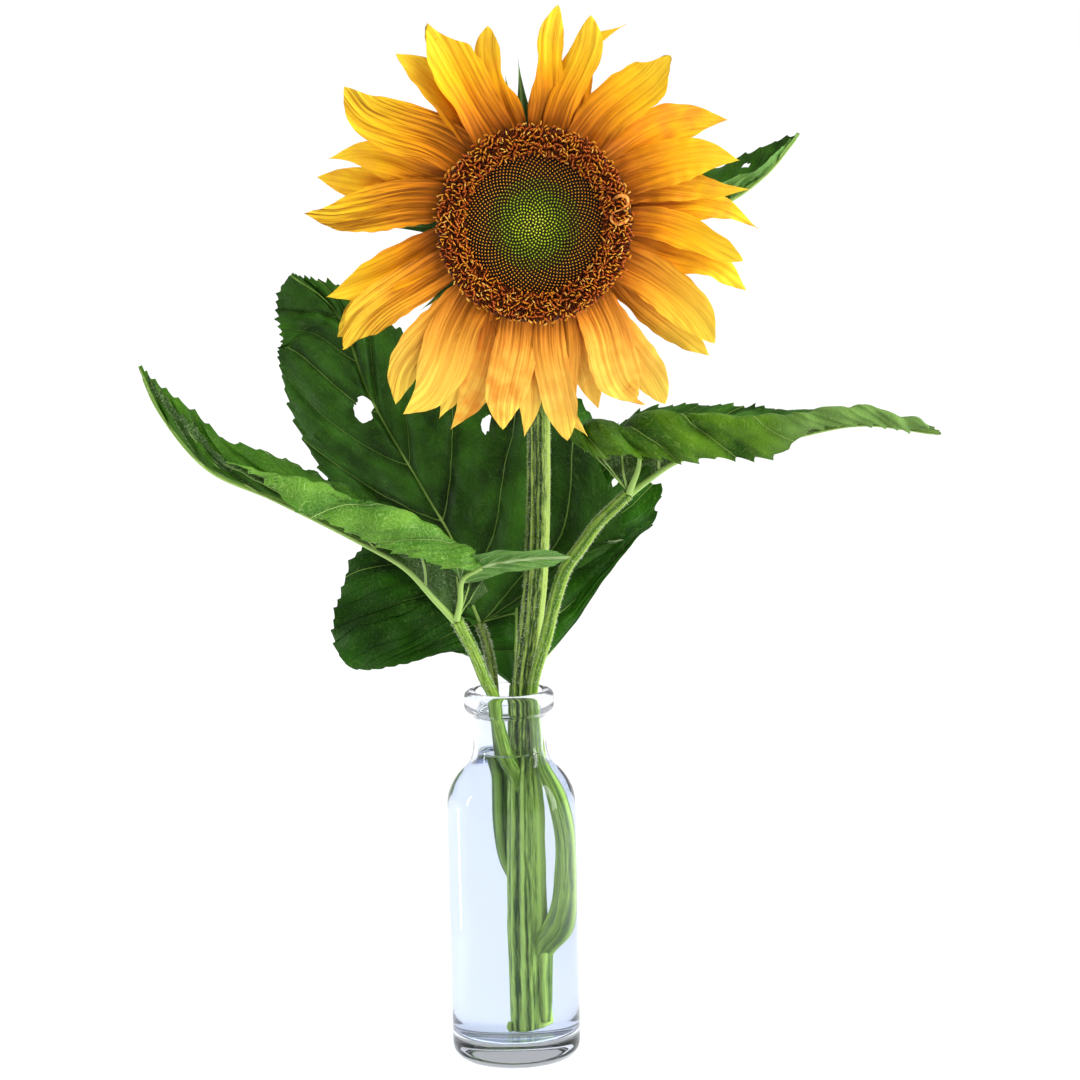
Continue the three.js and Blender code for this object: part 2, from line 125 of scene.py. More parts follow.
class Curve:
    """A centripetal Catmull-Rom curve through stops, read by distance from its start."""

    def __init__(self, stops):
        points = np.array(stops, float)[:, :3]
        padded = np.vstack([2 * points[0] - points[1], points, 2 * points[-1] - points[-2]])
        line = []
        for a, b, c, d in zip(padded, padded[1:], padded[2:], padded[3:]):
            before, span, after = (np.linalg.norm(q - p) ** 0.5 for p, q in ((a, b), (b, c), (c, d)))
            start = ((b - a) / before - (c - a) / (before + span) + (c - b) / span) * span
            end = ((c - b) / span - (d - b) / (span + after) + (d - c) / after) * span
            s = np.linspace(0, 1, CURVE_SAMPLES)[:, None]
            line.append(b + start * s + (3 * (c - b) - 2 * start - end) * s**2
                        + (2 * (b - c) + start + end) * s**3)
        self.line = np.vstack(line)
        step = np.linalg.norm(np.diff(self.line, axis=0), axis=1)
        self.run = np.concatenate([[0], np.cumsum(step)])
        self.length = self.run[-1]
        stop_at = np.arange(len(points)) * CURVE_SAMPLES
        stop_at[-1] = len(self.run) - 1
        self.stop_run = self.run[stop_at]
        self.tangents = unit(np.gradient(self.line, axis=0) + 1e-9)

    def read(self, along, values):
        return np.stack([np.interp(along, self.run, values[:, k]) for k in range(3)], -1)

    def point(self, along):
        return self.read(along, self.line)

    def tangent(self, along):
        return unit(self.read(along, self.tangents))


# ---- Pieces ----


def shifted(faces, start):
    """Faces as lists of corners, numbered from start."""
    if isinstance(faces, np.ndarray):
        return (faces + start).tolist()
    return [[corner + start for corner in face] for face in faces]


def weld(mesh):
    """Joins the points that share a place and turns every face outwards."""
    work = bmesh.new()
    work.from_mesh(mesh)
    bmesh.ops.remove_doubles(work, verts=work.verts, dist=0.002 * MM)
    bmesh.ops.dissolve_degenerate(work, dist=0.001 * MM, edges=work.edges)
    bmesh.ops.recalc_face_normals(work, faces=work.faces)
    work.to_mesh(mesh)
    work.free()


def add_piece(name, parts, nodes, welded=False):
    """One mesh piece that replaces nodes.

    Each of its parts is (vertices in mm, faces, material, {attribute: three numbers for each vertex}).
    """
    mesh = bpy.data.meshes.new(name)
    materials = list(dict.fromkeys(part[2] for part in parts))
    faces, slots, start = [], [], 0
    for points, part_faces, material, _ in parts:
        faces.extend(shifted(part_faces, start))
        slots.extend([materials.index(material)] * len(part_faces))
        start += len(points)
    mesh.from_pydata((np.vstack([part[0] for part in parts]) * MM).tolist(), [], faces)
    for material in materials:
        mesh.materials.append(material)
    mesh.polygons.foreach_set("material_index", slots)
    mesh.polygons.foreach_set("use_smooth", [True] * len(faces))
    for key in sorted({key for part in parts for key in part[3]}):
        layer = mesh.attributes.new(key, "FLOAT_VECTOR", "POINT")
        values = [part[3].get(key, np.zeros((len(part[0]), 3))) for part in parts]
        layer.data.foreach_set("vector", np.vstack(values).astype(np.float32).ravel())
    mesh.update()
    if welded:
        weld(mesh)
    piece = add_object(name, mesh)
    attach(piece, BODY)
    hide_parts(*nodes)


def grid_faces(rows, columns, wrap=False, flip=False):
    """Quads of a grid of points numbered row by row, closed round its columns if wrap."""
    row, column = np.meshgrid(np.arange(rows - 1), np.arange(columns - (not wrap)), indexing="ij")
    after = (column + 1) % columns
    quads = np.stack([row * columns + column, row * columns + after,
                      (row + 1) * columns + after, (row + 1) * columns + column], -1).reshape(-1, 4)
    return quads[:, ::-1] if flip else quads


def lathe(profile, sides):
    """Vertices and faces turned about Z from [radius, height] corners."""
    angle = np.linspace(0, 2 * math.pi, sides, endpoint=False)
    radius, height = np.array(profile, float).T
    points = np.stack([np.outer(radius, np.cos(angle)), np.outer(radius, np.sin(angle)),
                       np.repeat(height[:, None], sides, 1)], -1)
    return points.reshape(-1, 3), grid_faces(len(profile), sides, wrap=True)


def rounded(corners):
    """A profile with each corner [radius, height, rounding] cut back and replaced by an arc-like curve."""
    points = []
    for i, (r, z, size) in enumerate(corners):
        here = np.array([r, z], float)
        if size == 0 or i in (0, len(corners) - 1):
            points.append(here)
            continue
        start, end = (here + unit(away) * min(size, np.linalg.norm(away) * 0.49)
                      for away in (np.array(corners[k][:2], float) - here for k in (i - 1, i + 1)))
        for s in np.linspace(0, 1, 6):
            points.append((1 - s) ** 2 * start + 2 * s * (1 - s) * here + s**2 * end)
    return points


def tube(line, radii, sides=6):
    """Points and faces of a thin tube along a line of points."""
    line = np.asarray(line, float)
    tangent = unit(np.gradient(line, axis=0))
    guide = np.where(np.abs(tangent[:1, 2:3]) > 0.9, [[1.0, 0, 0]], [[0, 0, 1.0]])
    side = unit(np.cross(tangent, guide))
    other = np.cross(tangent, side)
    angle = np.linspace(0, 2 * math.pi, sides, endpoint=False)
    ring = side[:, None] * np.cos(angle)[None, :, None] + other[:, None] * np.sin(angle)[None, :, None]
    points = line[:, None] + ring * np.asarray(radii)[:, None, None]
    return points.reshape(-1, 3), grid_faces(len(line), sides, wrap=True)


# ---- Materials ----


def rgb(code):
    """A linear colour from six sRGB hex digits."""
    parts = [int(code[i:i + 2], 16) / 255 for i in (0, 2, 4)]
    return tuple(c / 12.92 if c <= 0.04045 else ((c + 0.055) / 1.055) ** 2.4 for c in parts) + (1,)


class Shader:
    """The nodes of a material or world, with short ways to add and join them."""

    def __init__(self, owner, main, **sockets):
        owner.use_nodes = True
        self.owner = owner
        self.tree = owner.node_tree
        self.main = self.tree.nodes[main]
        for key, value in sockets.items():
            self.main.inputs[key.replace("_", " ")].default_value = value

    def add(self, kind, inputs=None, output=0, **props):
        made = self.tree.nodes.new(kind)
        for key, value in props.items():
            setattr(made, key, value)
        for key, value in (inputs or {}).items():
            if isinstance(value, bpy.types.NodeSocket):
                self.tree.links.new(value, made.inputs[key])
            else:
                made.inputs[key].default_value = value
        return made.outputs[output]

    def to(self, key, socket):
        self.tree.links.new(socket, self.main.inputs[key])

    def math(self, operation, *values):
        return self.add("ShaderNodeMath", dict(enumerate(values)), operation=operation)

    def plus(self, a, b):
        return self.math("ADD", a, b)

    def times(self, a, b):
        return self.math("MULTIPLY", a, b)

    def scaled(self, value, scale, offset):
        return self.math("MULTIPLY_ADD", value, scale, offset)

    def from_whole(self, value):
        """How far a value is from the nearest whole number."""
        return self.math("ABSOLUTE", self.math("SUBTRACT", value, self.math("ROUND", value)))

    def band(self, value, low, high):
        """1 below low, 0 above high, smooth between."""
        inputs = {"Value": value, "From Min": low, "From Max": high, "To Min": 1.0, "To Max": 0.0}
        return self.add("ShaderNodeMapRange", inputs, interpolation_type="SMOOTHSTEP")

    def mix(self, factor, a, b, blend="MIX"):
        """Mixes two colours, each a socket or six hex digits."""
        a, b = (rgb(colour) if isinstance(colour, str) else colour for colour in (a, b))
        return self.add("ShaderNodeMix", {0: factor, 6: a, 7: b}, 2, data_type="RGBA", blend_type=blend)

    def deepen(self, factor, colour):
        """A colour taken some way towards its own square."""
        return self.mix(factor, colour, self.mix(1.0, colour, colour, "MULTIPLY"))

    def ramp(self, factor, stops):
        made = self.add("ShaderNodeValToRGB", {0: factor})
        elements = made.node.color_ramp.elements
        while len(elements) < len(stops):
            elements.new(0.5)
        for element, (place, colour) in zip(elements, stops):
            element.position = place
            element.color = rgb(colour) if isinstance(colour, str) else (colour, colour, colour, 1)
        return made

    def attribute(self, name):
        """The three numbers of a vector attribute."""
        vector = self.add("ShaderNodeAttribute", output=1, attribute_name=name)
        return self.add("ShaderNodeSeparateXYZ", {0: vector}).node.outputs[:3]

    def vector(self, x=0.0, y=0.0, z=0.0):
        return self.add("ShaderNodeCombineXYZ", {0: x, 1: y, 2: z})

    def noise(self, scale, detail, vector=None, rough=0.5):
        inputs = {"Scale": scale, "Detail": detail, "Roughness": rough}
        inputs["Vector"] = vector or self.add("ShaderNodeTexCoord", output=3)
        return self.add("ShaderNodeTexNoise", inputs)

    def bump(self, height, strength, distance):
        """Bump of a height in mm."""
        inputs = {"Height": height, "Strength": strength, "Distance": distance * MM}
        self.to("Normal", self.add("ShaderNodeBump", inputs))


def new_shader(name, **sockets):
    return Shader(bpy.data.materials.new(name), "Principled BSDF", **sockets)


def leaf_material(name, colours, gloss=0.42, tip=None, net=0.2):
    """A blade: side veins from `veins`, cross veins between them, a fine grain, and its two faces' greens, with
    painted sheen in lighter panels between the side veins and painted shade along them.

    colours are the light and the dark of its upper face and of its under face, and the veins' on each face.
    tip is the colour that the blade turns to between two distances, in mm, from its base. net is how far the
    fine veins show on the upper face.
    """
    upper, upper_dark, under, under_dark, vein, vein_under = colours.split()
    shader = new_shader(name, Specular_IOR_Level=0.15)
    along, across, face = shader.attribute("flat")
    vein_at, vein_scale, margin = shader.attribute("veins")
    place = shader.vector(along, across)
    panel = shader.noise(1.0, 3, shader.vector(shader.times(vein_at, 1.3), margin), 0.55)
    mottle = shader.scaled(panel, 0.6, shader.times(shader.noise(0.05, 3, place, 0.55), 0.4))
    speck = shader.noise(0.7, 3, place, 0.6)
    from_vein = shader.times(shader.from_whole(vein_at), vein_scale)
    middle = shader.band(shader.math("ABSOLUTE", across), 0.3, 0.9)
    veins = shader.math("MAXIMUM", shader.band(from_vein, 0.22, 0.75), middle)
    rung = shader.scaled(margin, 17.0, shader.times(shader.noise(0.13, 2, place), 9.0))
    cells = shader.add("ShaderNodeTexVoronoi", {"Vector": place, "Scale": 0.75}, feature="DISTANCE_TO_EDGE")
    cross = shader.math("MAXIMUM", shader.band(shader.from_whole(rung), 0.02, 0.12),
                        shader.times(shader.band(cells, 0.0, 0.12), 0.45))
    # Lighter and darker panels between the side veins: partly the blade's own mottling, partly painted sheen.
    patch = shader.ramp(mottle, [(0.38, 0.0), (0.66, 1.0)])
    colour = shader.mix(face, shader.mix(patch, under_dark, under), shader.mix(patch, upper_dark, upper))
    if tip:
        pale = shader.scaled(shader.band(along, tip[1], tip[2]), -0.55, 0.55)
        colour = shader.mix(pale, colour, tip[0])
    # Painted shade: the blade darkens near each side vein, in the valley where it swells up between the veins.
    colour = shader.deepen(shader.times(shader.band(from_vein, 0.6, 9.0), 0.28), colour)
    colour = shader.deepen(shader.times(speck, 0.5), colour)
    line = shader.mix(face, vein_under, vein)
    colour = shader.mix(shader.times(cross, shader.scaled(face, net - 0.32, 0.32)), colour, line)
    colour = shader.mix(shader.times(veins, shader.scaled(face, -0.25, 0.85)), colour, line)
    shader.to("Base Color", colour)
    ridge = shader.times(shader.plus(veins, shader.times(cross, 0.3)), shader.scaled(face, -2.0, 1.0))
    shader.bump(shader.plus(ridge, shader.times(speck, 0.5)), 0.9, 0.5)
    shader.to("Roughness", shader.add("ShaderNodeMapRange", {"Value": mottle, "To Min": gloss - 0.08,
                                                             "To Max": gloss + 0.16}))
    return shader.owner


def petal_material(name):
    """A ray petal: brown at its root, partly its own colour and partly painted shade by the disc, orange then
    golden along it, with long fine lines and brown streaks, partly painted shade in its grooves; lower petals
    take a lit copy of its colours as painted light.
    """
    shader = new_shader(name, Roughness=0.6, Specular_IOR_Level=0.14)
    along, across, face = shader.attribute("flat")
    reach, seed, lit_share = shader.attribute("petal")
    streaked, warm, _ = shader.attribute("petal_look")
    place = shader.vector(shader.times(along, 0.03), across, seed)
    streak = shader.noise(0.95, 3, place, 0.6)
    lines = shader.noise(3.2, 1, place, 0.5)
    blotch = shader.noise(0.12, 2, shader.vector(along, across, seed), 0.5)
    wander = shader.scaled(shader.math("SUBTRACT", streak, 0.5), 0.34, reach)
    # deep and light are a shaded and a lit copy of the petal's colours, mixed by the petal's place on the head:
    # lower petals take more of the lit copy as painted light. The dark root of both is partly painted shade by
    # the disc.
    deep = shader.ramp(wander, [(0.08, "5c2804"), (0.2, "b8600e"), (0.4, "f29a14"), (0.62, "ffc01c"),
                                (1.0, "ffda36")])
    light = shader.ramp(wander, [(0.08, "8a4410"), (0.2, "e78a26"), (0.4, "ffb444"), (0.7, "ffd25c"),
                                 (1.0, "ffde5a")])
    blush = shader.times(warm, shader.ramp(blotch, [(0.4, 0.0), (0.65, 0.8)]))
    colour = shader.mix(blush, shader.mix(lit_share, deep, light), "f29232")
    # Brown lines where the streak bump is low: partly the petal's own streaks, partly painted shade in these
    # grooves, deeper near the disc.
    groove = shader.ramp(streak, [(0.36, 1.0), (0.56, 0.0)])
    near = shader.ramp(reach, [(0.12, 0.5), (0.5, 0.0)])
    depth = shader.plus(shader.scaled(streaked, 0.7, 0.1), near)
    colour = shader.mix(shader.times(groove, depth), colour, "8a4c06")
    colour = shader.mix(shader.ramp(lines, [(0.3, 0.2), (0.5, 0.0)]), colour, "d08408")
    colour = shader.mix(shader.scaled(face, -0.35, 0.35), colour, "d8a93c")
    shader.to("Base Color", colour)
    shader.bump(shader.plus(streak, shader.times(lines, 0.5)), 0.6, 0.55)
    return shader.owner


def stem_material(name, colours, foot=None):
    """Green stem skin: painted light on its ridges and painted shade in its grooves, with a painted highlight
    where a limb's strip lifts its ridge value, long fibres, mottling, and small brown specks.

    colours are its base, light, dark and specks. foot is the dark and the light of the streaks of its lower
    part in the water, painted shade and painted light by ridge, which fades out between two distances, in mm,
    from its lower end.
    """
    base, light, dark, spot = colours.split()
    shader = new_shader(name, Roughness=0.5, Specular_IOR_Level=0.3)
    along, turn, ridge = shader.attribute("flat")
    fibre = shader.noise(1.5, 4, shader.vector(shader.times(along, 0.05), turn), 0.7)
    mottle = shader.noise(0.75, 4, shader.vector(shader.times(along, 0.16), turn), 0.68)
    # The colour follows the ridge value: dark in the grooves as painted shade, light on the ridges and on the
    # strip as painted light.
    lit = shader.scaled(ridge, 0.16, fibre)
    colour = shader.mix(shader.ramp(lit, [(0.36, 0.0), (0.66, 1.0)]), dark, base)
    pale = shader.ramp(shader.scaled(ridge, 0.1, mottle), [(0.45, 0.0), (0.72, 0.85)])
    colour = shader.mix(pale, colour, light)
    if foot:
        # Painted shade and light: the part in the water is streaked darker and lighter by ridge.
        streaks = shader.mix(shader.ramp(lit, [(0.34, 0.0), (0.62, 1.0)]), foot[0], foot[1])
        colour = shader.mix(shader.times(shader.band(along, foot[2], foot[3]), 0.75), colour, streaks)
    specks = shader.noise(1.6, 2, shader.vector(along, turn), 0.6)
    colour = shader.mix(shader.ramp(specks, [(0.6, 0.0), (0.7, 0.5)]), colour, spot)
    shader.to("Base Color", colour)
    shader.bump(shader.plus(fibre, shader.times(mottle, 0.4)), 0.6, 0.4)
    return shader.owner


def plain_material(name, colour, rough):
    """One colour all over, for small pieces dealt out by kind, with a fine grain in the bump alone."""
    shader = new_shader(name, Roughness=rough, Base_Color=rgb(colour))
    shader.bump(shader.noise(900, 2), 0.25, 0.15)
    return shader.owner


def clear_material(name, colour, ior):
    """Glass or water that lets light through to what stands in it."""
    shader = new_shader(name, Roughness=0.0, IOR=ior, Base_Color=rgb(colour), Transmission_Weight=1.0,
                        Specular_Tint=(0.3, 0.3, 0.3, 1))
    through = shader.add("ShaderNodeBsdfTransparent", {"Color": rgb("fcfdff")})
    shadow = shader.add("ShaderNodeLightPath", output=1)
    mixed = shader.add("ShaderNodeMixShader", {0: shadow, 1: shader.main.outputs[0], 2: through})
    shader.tree.links.new(mixed, shader.tree.nodes["Material Output"].inputs["Surface"])
    return shader.owner


# Some skins are lit and shaded copies of one green. The lit skin, listed first below, is painted light for the
# half of leaf_left that faces the top light. The green and dark skins also serve as painted shade on the far
# halves of leaf_left and leaf_right. Otherwise dark and deep are the greens of leaf_back and leaf_low
# themselves.
LEAF_SKINS = {name: leaf_material("leaf_" + name, colours, **more) for name, colours, more in (
    ("bright", "78aa38 2e6c10 4a7232 28500f b4d67a c6dba0", {"net": 0.34}),
    ("green", "457a10 1c4a02 4c7834 2c5220 90b654 bfd49a", {}),
    ("dark", "447c1e 0e2e00 4c7832 305c20 8cb454 b4ca92", {"net": 0.1}),
    ("deep", "2f6e02 0c3800 477428 2f5a16 94bc56 b4ca92", {"net": 0.12}),
    ("olive", "6a981c 1e4c02 53792c 335418 98b85a bfd49a", {"tip": ("88aa64", 62, 92), "net": 0.2}),
    ("pale", "5f9c3a 2f6c1c 7cae50 4e8834 bcdc98 c0da98", {"net": 0.5}),
)}
PETAL_GOLD = petal_material("petal_gold")
STEM_GREEN = stem_material("stem_green", "406604 bedc68 102c00 4a3a10", ("2c5604", "b4d860", 95, 135))
STALK_GREEN = stem_material("stalk_green", "6c981a b0cc58 366004 5c4a18")
STALK_THICK = stem_material("stalk_thick", "6c981a b0cc58 366004 5c4a18", ("284e02", "9cc04c", 80, 100))
STALK_BROWN = stem_material("stalk_brown", "4c6a14 7e9440 2c3c0a 5c3a18", ("2c5604", "94bc4a", 40, 64))
RIB_PALE = plain_material("rib_pale", "98bb5c", 0.5)
HAIR_PALE = plain_material("hair_pale", "e3ead2", 0.5)
CUP_GREEN = stem_material("cup_green", "4f7a2c 7da350 355818 4c4a1c")
BRACT_GREEN = leaf_material("bract_green", "3f7426 27511a 5c8a41 3d672a 7ea25a 8fb36c", gloss=0.5)
GLASS = clear_material("bottle_glass", "f0f4fb", 1.5)
WATER = clear_material("water_clear", "e8edf7", 1.333)

# ---- Bottle and water: corners are (radius, height, rounding), in mm ----

BOTTLE_SIDES = 128
OUTER_WALL = [
    (0, 0.9, 0), (17, 0.9, 2), (20, 0, 1.5), (25.6, 0, 1.5), (29, 3.4, 4.5), (29, 117, 3), (28.2, 122.5, 3.4),
    (24.4, 129.6, 4), (18.6, 135, 4.6), (16.4, 141, 5), (16.4, 157.6, 1.4), (19.6, 159.2, 1.2),
    (20.3, 161, 1.2), (20.3, 166.2, 1.3), (18.9, 168, 1.3), (15.6, 168, 1.2),
]
INNER_MOUTH = [(15.6, 168, 1.2), (14.4, 166, 1.6), (14.4, 140, 4)]
INNER_WALL = [(16.6, 134, 4.4), (21.6, 129, 4.4), (25.4, 122, 3.4), (26.4, 116, 3), (26.4, 14.6, 4),
              (23.5, 11.2, 3), (12, 10.2, 6), (0, 9.7, 0)]
WATER_LEVEL = 139.5
WATER_INSET = 0.12  # how far the water reaches into the glass
WATER_RADIUS = 14.4 + WATER_INSET
GLASS_CLIMB, LIMB_CLIMB, CLIMB_REACH = 1.3, 0.8, 0.7  # how high and how far out the meniscus rises
LIMB_AT_WATER = [(5.4, 2, 5.7), (-1.7, -3.8, 3.3), (-7.1, 5.7, 2.4), (11, -3.3, 2.3), (1.6, 9.2, 2.2)]


def build_bottle():
    points, faces = lathe(rounded(OUTER_WALL) + rounded(INNER_MOUTH + INNER_WALL)[1:], BOTTLE_SIDES)
    add_piece("bottle_glass", [(points, faces, GLASS, {})], ["bottle"], welded=True)


def build_water():
    """Water that meets the glass a little inside its wall, with a meniscus at the glass and round each limb."""
    wall = [(r + WATER_INSET * (r > 12), z - WATER_INSET * (z < 12), size) for r, z, size in INNER_WALL[::-1]]
    wall += [(WATER_RADIUS, 139, 1), (WATER_RADIUS, WATER_LEVEL + GLASS_CLIMB, 0)]
    skin, faces = lathe(rounded(wall), BOTTLE_SIDES)
    radii = np.concatenate([np.linspace(WATER_RADIUS, 12.6, 7), np.linspace(12, 0, 22)])
    top, top_faces = lathe([(r, WATER_LEVEL) for r in radii], BOTTLE_SIDES)
    climb = GLASS_CLIMB * np.exp(-(WATER_RADIUS - np.hypot(top[:, 0], top[:, 1])) / CLIMB_REACH)
    for x, y, radius in LIMB_AT_WATER:
        away = np.hypot(top[:, 0] - x, top[:, 1] - y) - radius
        climb += LIMB_CLIMB * np.exp(-np.clip(away, 0, None) / CLIMB_REACH)
    top[:, 2] += climb
    add_piece("water_body", [(skin, faces, WATER, {}), (top, top_faces, WATER, {})], ["water"], welded=True)


# ---- Limbs: stops are (x, y, z, radius), in mm ----

STEM = [(4.6, 9, 11.3, 6.2), (4.2, 5, 60, 6.3), (4.6, 2, 110, 6.0), (5.4, 2, 140, 5.5), (6.6, 2.2, 168, 5.0),
        (9.6, 2, 190, 5.0), (12.6, 1, 213, 5.1), (14.2, 0, 234, 5.2), (15.8, 0, 276, 5.0), (16, 1, 340, 4.9)]
NECK = [(16, 1, 340, 4.9), (16, 1.5, 354, 5.0), (16, -1, 366, 5.3), (16, -7, 374.6, 5.9),
        (16, -11.5, 376.4, 6.3), (16, -15.5, 377.2, 6.4)]
STEM_RIDGE = [(9.4, 4, 15.5, 1.6), (9.3, 4, 24, 2.4), (9.2, 3.6, 38, 2.9), (9.4, 3, 50, 3.2)]
TORN_BARK = [(-1.6, 6.6, 10.9, 0.7), (-2.0, 6.4, 13, 1.0), (-1.7, 6.6, 15.5, 0.8)]
STALKS = {
    "stalk_left": [(5, 2, 112, 3.2), (2, -0.5, 126, 3.4), (-1.5, -3.5, 138, 3.2), (-4.6, -5.5, 152, 2.9),
                   (-6.6, -7.5, 166, 2.7), (-10.4, -10.5, 175, 2.6), (-15.4, -14, 189, 2.6),
                   (-21.9, -18, 203, 2.9)],
    "stalk_back": [(1.6, 5, 78, 1.6), (-1.8, 7.2, 90, 2.3), (-3.0, 6.4, 104, 2.7), (-3.6, 5.8, 122, 2.8),
                   (-4.8, 5.6, 138, 2.7), (-6.6, 6.5, 160, 2.4), (-7, 8, 172, 2.2), (-9.4, 13, 186, 2.2),
                   (-12.5, 18, 195, 2.4)],
    "stalk_low": [(3.5, 4, 112, 2.2), (2, 8.5, 130, 2.2), (1.2, 10, 150, 2.2), (2.6, 11, 168, 2.4)],
    "stalk_right": [(8.4, 4, 47, 3.6), (10.8, 3, 53, 5.0), (15.4, 1, 59.5, 6.0), (18.9, -1, 69, 6.1),
                    (20.4, -1.6, 84, 5.7), (20.4, -2.2, 100, 4.9), (17, -3, 118, 3.9), (12.8, -3.2, 132, 2.9),
                    (11.3, -3.3, 150, 2.3), (11, -3.5, 169, 2.2), (17, -7.5, 192, 2.9),
                    (26.2, -13, 223.5, 2.9), (34, -16, 235, 2.9), (41, -18, 245, 2.8), (48, -20, 252, 2.7),
                    (54.5, -21.8, 258.4, 2.8)],
    "stalk_top": [(16, 1, 312, 2.6), (17, 3, 322, 2.4), (22, 9, 338, 2.2), (33, 15, 358, 2.1),
                  (47, 19, 372, 2.2)],
}
STALK_NODES = {"stalk_right": ["stalk_right_bottom", "stalk_right_top"]}
STALK_SKINS = {"stalk_back": STALK_BROWN, "stalk_right": STALK_THICK}
RIDGE_WAVES = [(0.6, 1.0, 1.0, 0.0), (0.45, 0.6, 1.0, 1.3), (0.35, 1.7, 0.4, 2.1), (0.25, 2.3, 0.0, 0.7)]
STEM_SIDES, STALK_SIDES = 96, 32
GROOVE = (1.1, 0.14)  # where round the stem, in radians, and how deep, as a share of its radius
STRIP = (2.65, 0.3)  # the stem's strip, a little raised and painted light as a painted highlight down its right side: where round it, and how wide
# How much painted highlight the strip adds to the ridge value that the skin colours by, and how far the strip
# stands out, as a share of the radius
STRIP_PAINTED_LIGHT, STRIP_HEIGHT = 5.0, 0.05
AROUND = 5  # what the `flat` attribute counts for each radian round a limb
FOOT_HEIGHT, FOOT_SLANT = 16, 0.28  # where the stem's slanted cut begins, and its slope
GROOVE_WIDTH = 0.16  # radians
HAIR_RADIUS, HAIR_LENGTH = 0.07, (0.5, 1.4)
HAIRS_FROM = 170  # only above the bottle's mouth


def limb(stops, ridges, depth, seed, sides, pitch=1.3, groove=None, strip=None):
    """A ridged, slightly uneven limb: its points, its faces and its flat places (mm along, round, and ridge,
    which also carries the strip's painted highlight).
    """
    curve = Curve(stops)
    rows = max(8, int(curve.length / pitch)) + 1
    along = np.linspace(0, curve.length, rows)
    centre, tangent = curve.point(along), curve.tangent(along)
    side = np.zeros_like(tangent)
    side[0] = unit(np.cross(tangent[0], (0, 1, 0.1)))
    for i in range(1, rows):
        side[i] = unit(side[i - 1] - tangent[i] * np.dot(side[i - 1], tangent[i]))
    other = np.cross(tangent, side)
    turn, run = np.meshgrid(np.linspace(0, 2 * math.pi, sides, endpoint=False), along)
    drift = 0.25 * np.sin(run / 60 + seed)
    wave = sum(size * np.cos(round(ridges * part) * (turn + drift * share) + seed * turned)
               for size, part, share, turned in RIDGE_WAVES)
    shape = 1 + depth * wave + 0.012 * Waves(seed, 22)(run, turn * AROUND)
    if groove:
        shape -= groove[1] * np.exp(-((np.angle(np.exp(1j * (turn - groove[0]))) / GROOVE_WIDTH) ** 2))
    # The strip's painted highlight goes into the ridge value; the strip is also raised a little.
    if strip:
        light = np.exp(-(((turn - strip[0]) / strip[1]) ** 2))
        wave = wave + STRIP_PAINTED_LIGHT * light
        shape += STRIP_HEIGHT * light
    reach = np.interp(along, curve.stop_run, [stop[3] for stop in stops])[:, None] * shape
    points = (centre[:, None] + side[:, None] * (reach * np.cos(turn))[..., None]
              + other[:, None] * (reach * np.sin(turn))[..., None])
    flat = np.stack([run, turn * AROUND, wave], -1)
    return points.reshape(-1, 3), grid_faces(rows, sides, wrap=True), flat.reshape(-1, 3)


def closed_limb(stops, ridges, depth, seed, sides, **more):
    """A limb with its two ends closed by fans."""
    points, faces, flat = limb(stops, ridges, depth, seed, sides, **more)
    last = len(points) - sides
    ends = [points[:sides].mean(0), points[last:].mean(0)]
    k = np.arange(sides)
    after = (k + 1) % sides
    fans = ((after, k, len(points)), (last + k, last + after, len(points) + 1))
    corners = [np.stack(np.broadcast_arrays(*fan), -1).tolist() for fan in fans]
    flat = np.vstack([flat, flat[:1], flat[-1:]])
    return np.vstack([points, ends]), faces.tolist() + corners[0] + corners[1], flat


def hairs(stops, seed, apart):
    """Short fine hairs that stand on a limb: joined slivers of three faces each."""
    rng = np.random.default_rng(seed)
    curve = Curve(stops)
    run = np.sort(rng.uniform(0, curve.length, int(curve.length / apart)))
    centre = curve.point(run)
    keep = centre[:, 2] > HAIRS_FROM
    run, centre = run[keep], centre[keep]
    radius = np.interp(run, curve.stop_run, [stop[3] for stop in stops])
    forward = curve.tangent(run)
    out = rng.normal(size=(len(run), 3))
    out = unit(out - forward * (out * forward).sum(1)[:, None])
    aim = unit(out + rng.normal(0, 0.35, (len(run), 3)))
    root = centre + out * radius[:, None] * 0.96
    long = rng.uniform(*HAIR_LENGTH, len(run))[:, None]
    side = unit(np.cross(aim, forward))
    other = np.cross(aim, side)
    ring = [root + (side * math.cos(a) + other * math.sin(a)) * HAIR_RADIUS for a in (0, 2.09, 4.19)]
    points = np.stack([*ring, root + aim * long], 1).reshape(-1, 3)
    sliver = np.array([(0, 1, 3), (1, 2, 3), (2, 0, 3)])
    return points, (sliver + np.arange(len(run))[:, None, None] * 4).reshape(-1, 3)


def add_hairs(name, stops, nodes, seed, apart):
    points, faces = hairs(stops, seed, apart)
    if len(points):
        add_piece(name + "_hairs", [(points, faces, HAIR_PALE, {})], nodes)


def add_skin(name, limbs, material, nodes):
    parts = [(points, faces, material, {"flat": flat}) for points, faces, flat in limbs]
    add_piece(name + "_skin", parts, nodes)


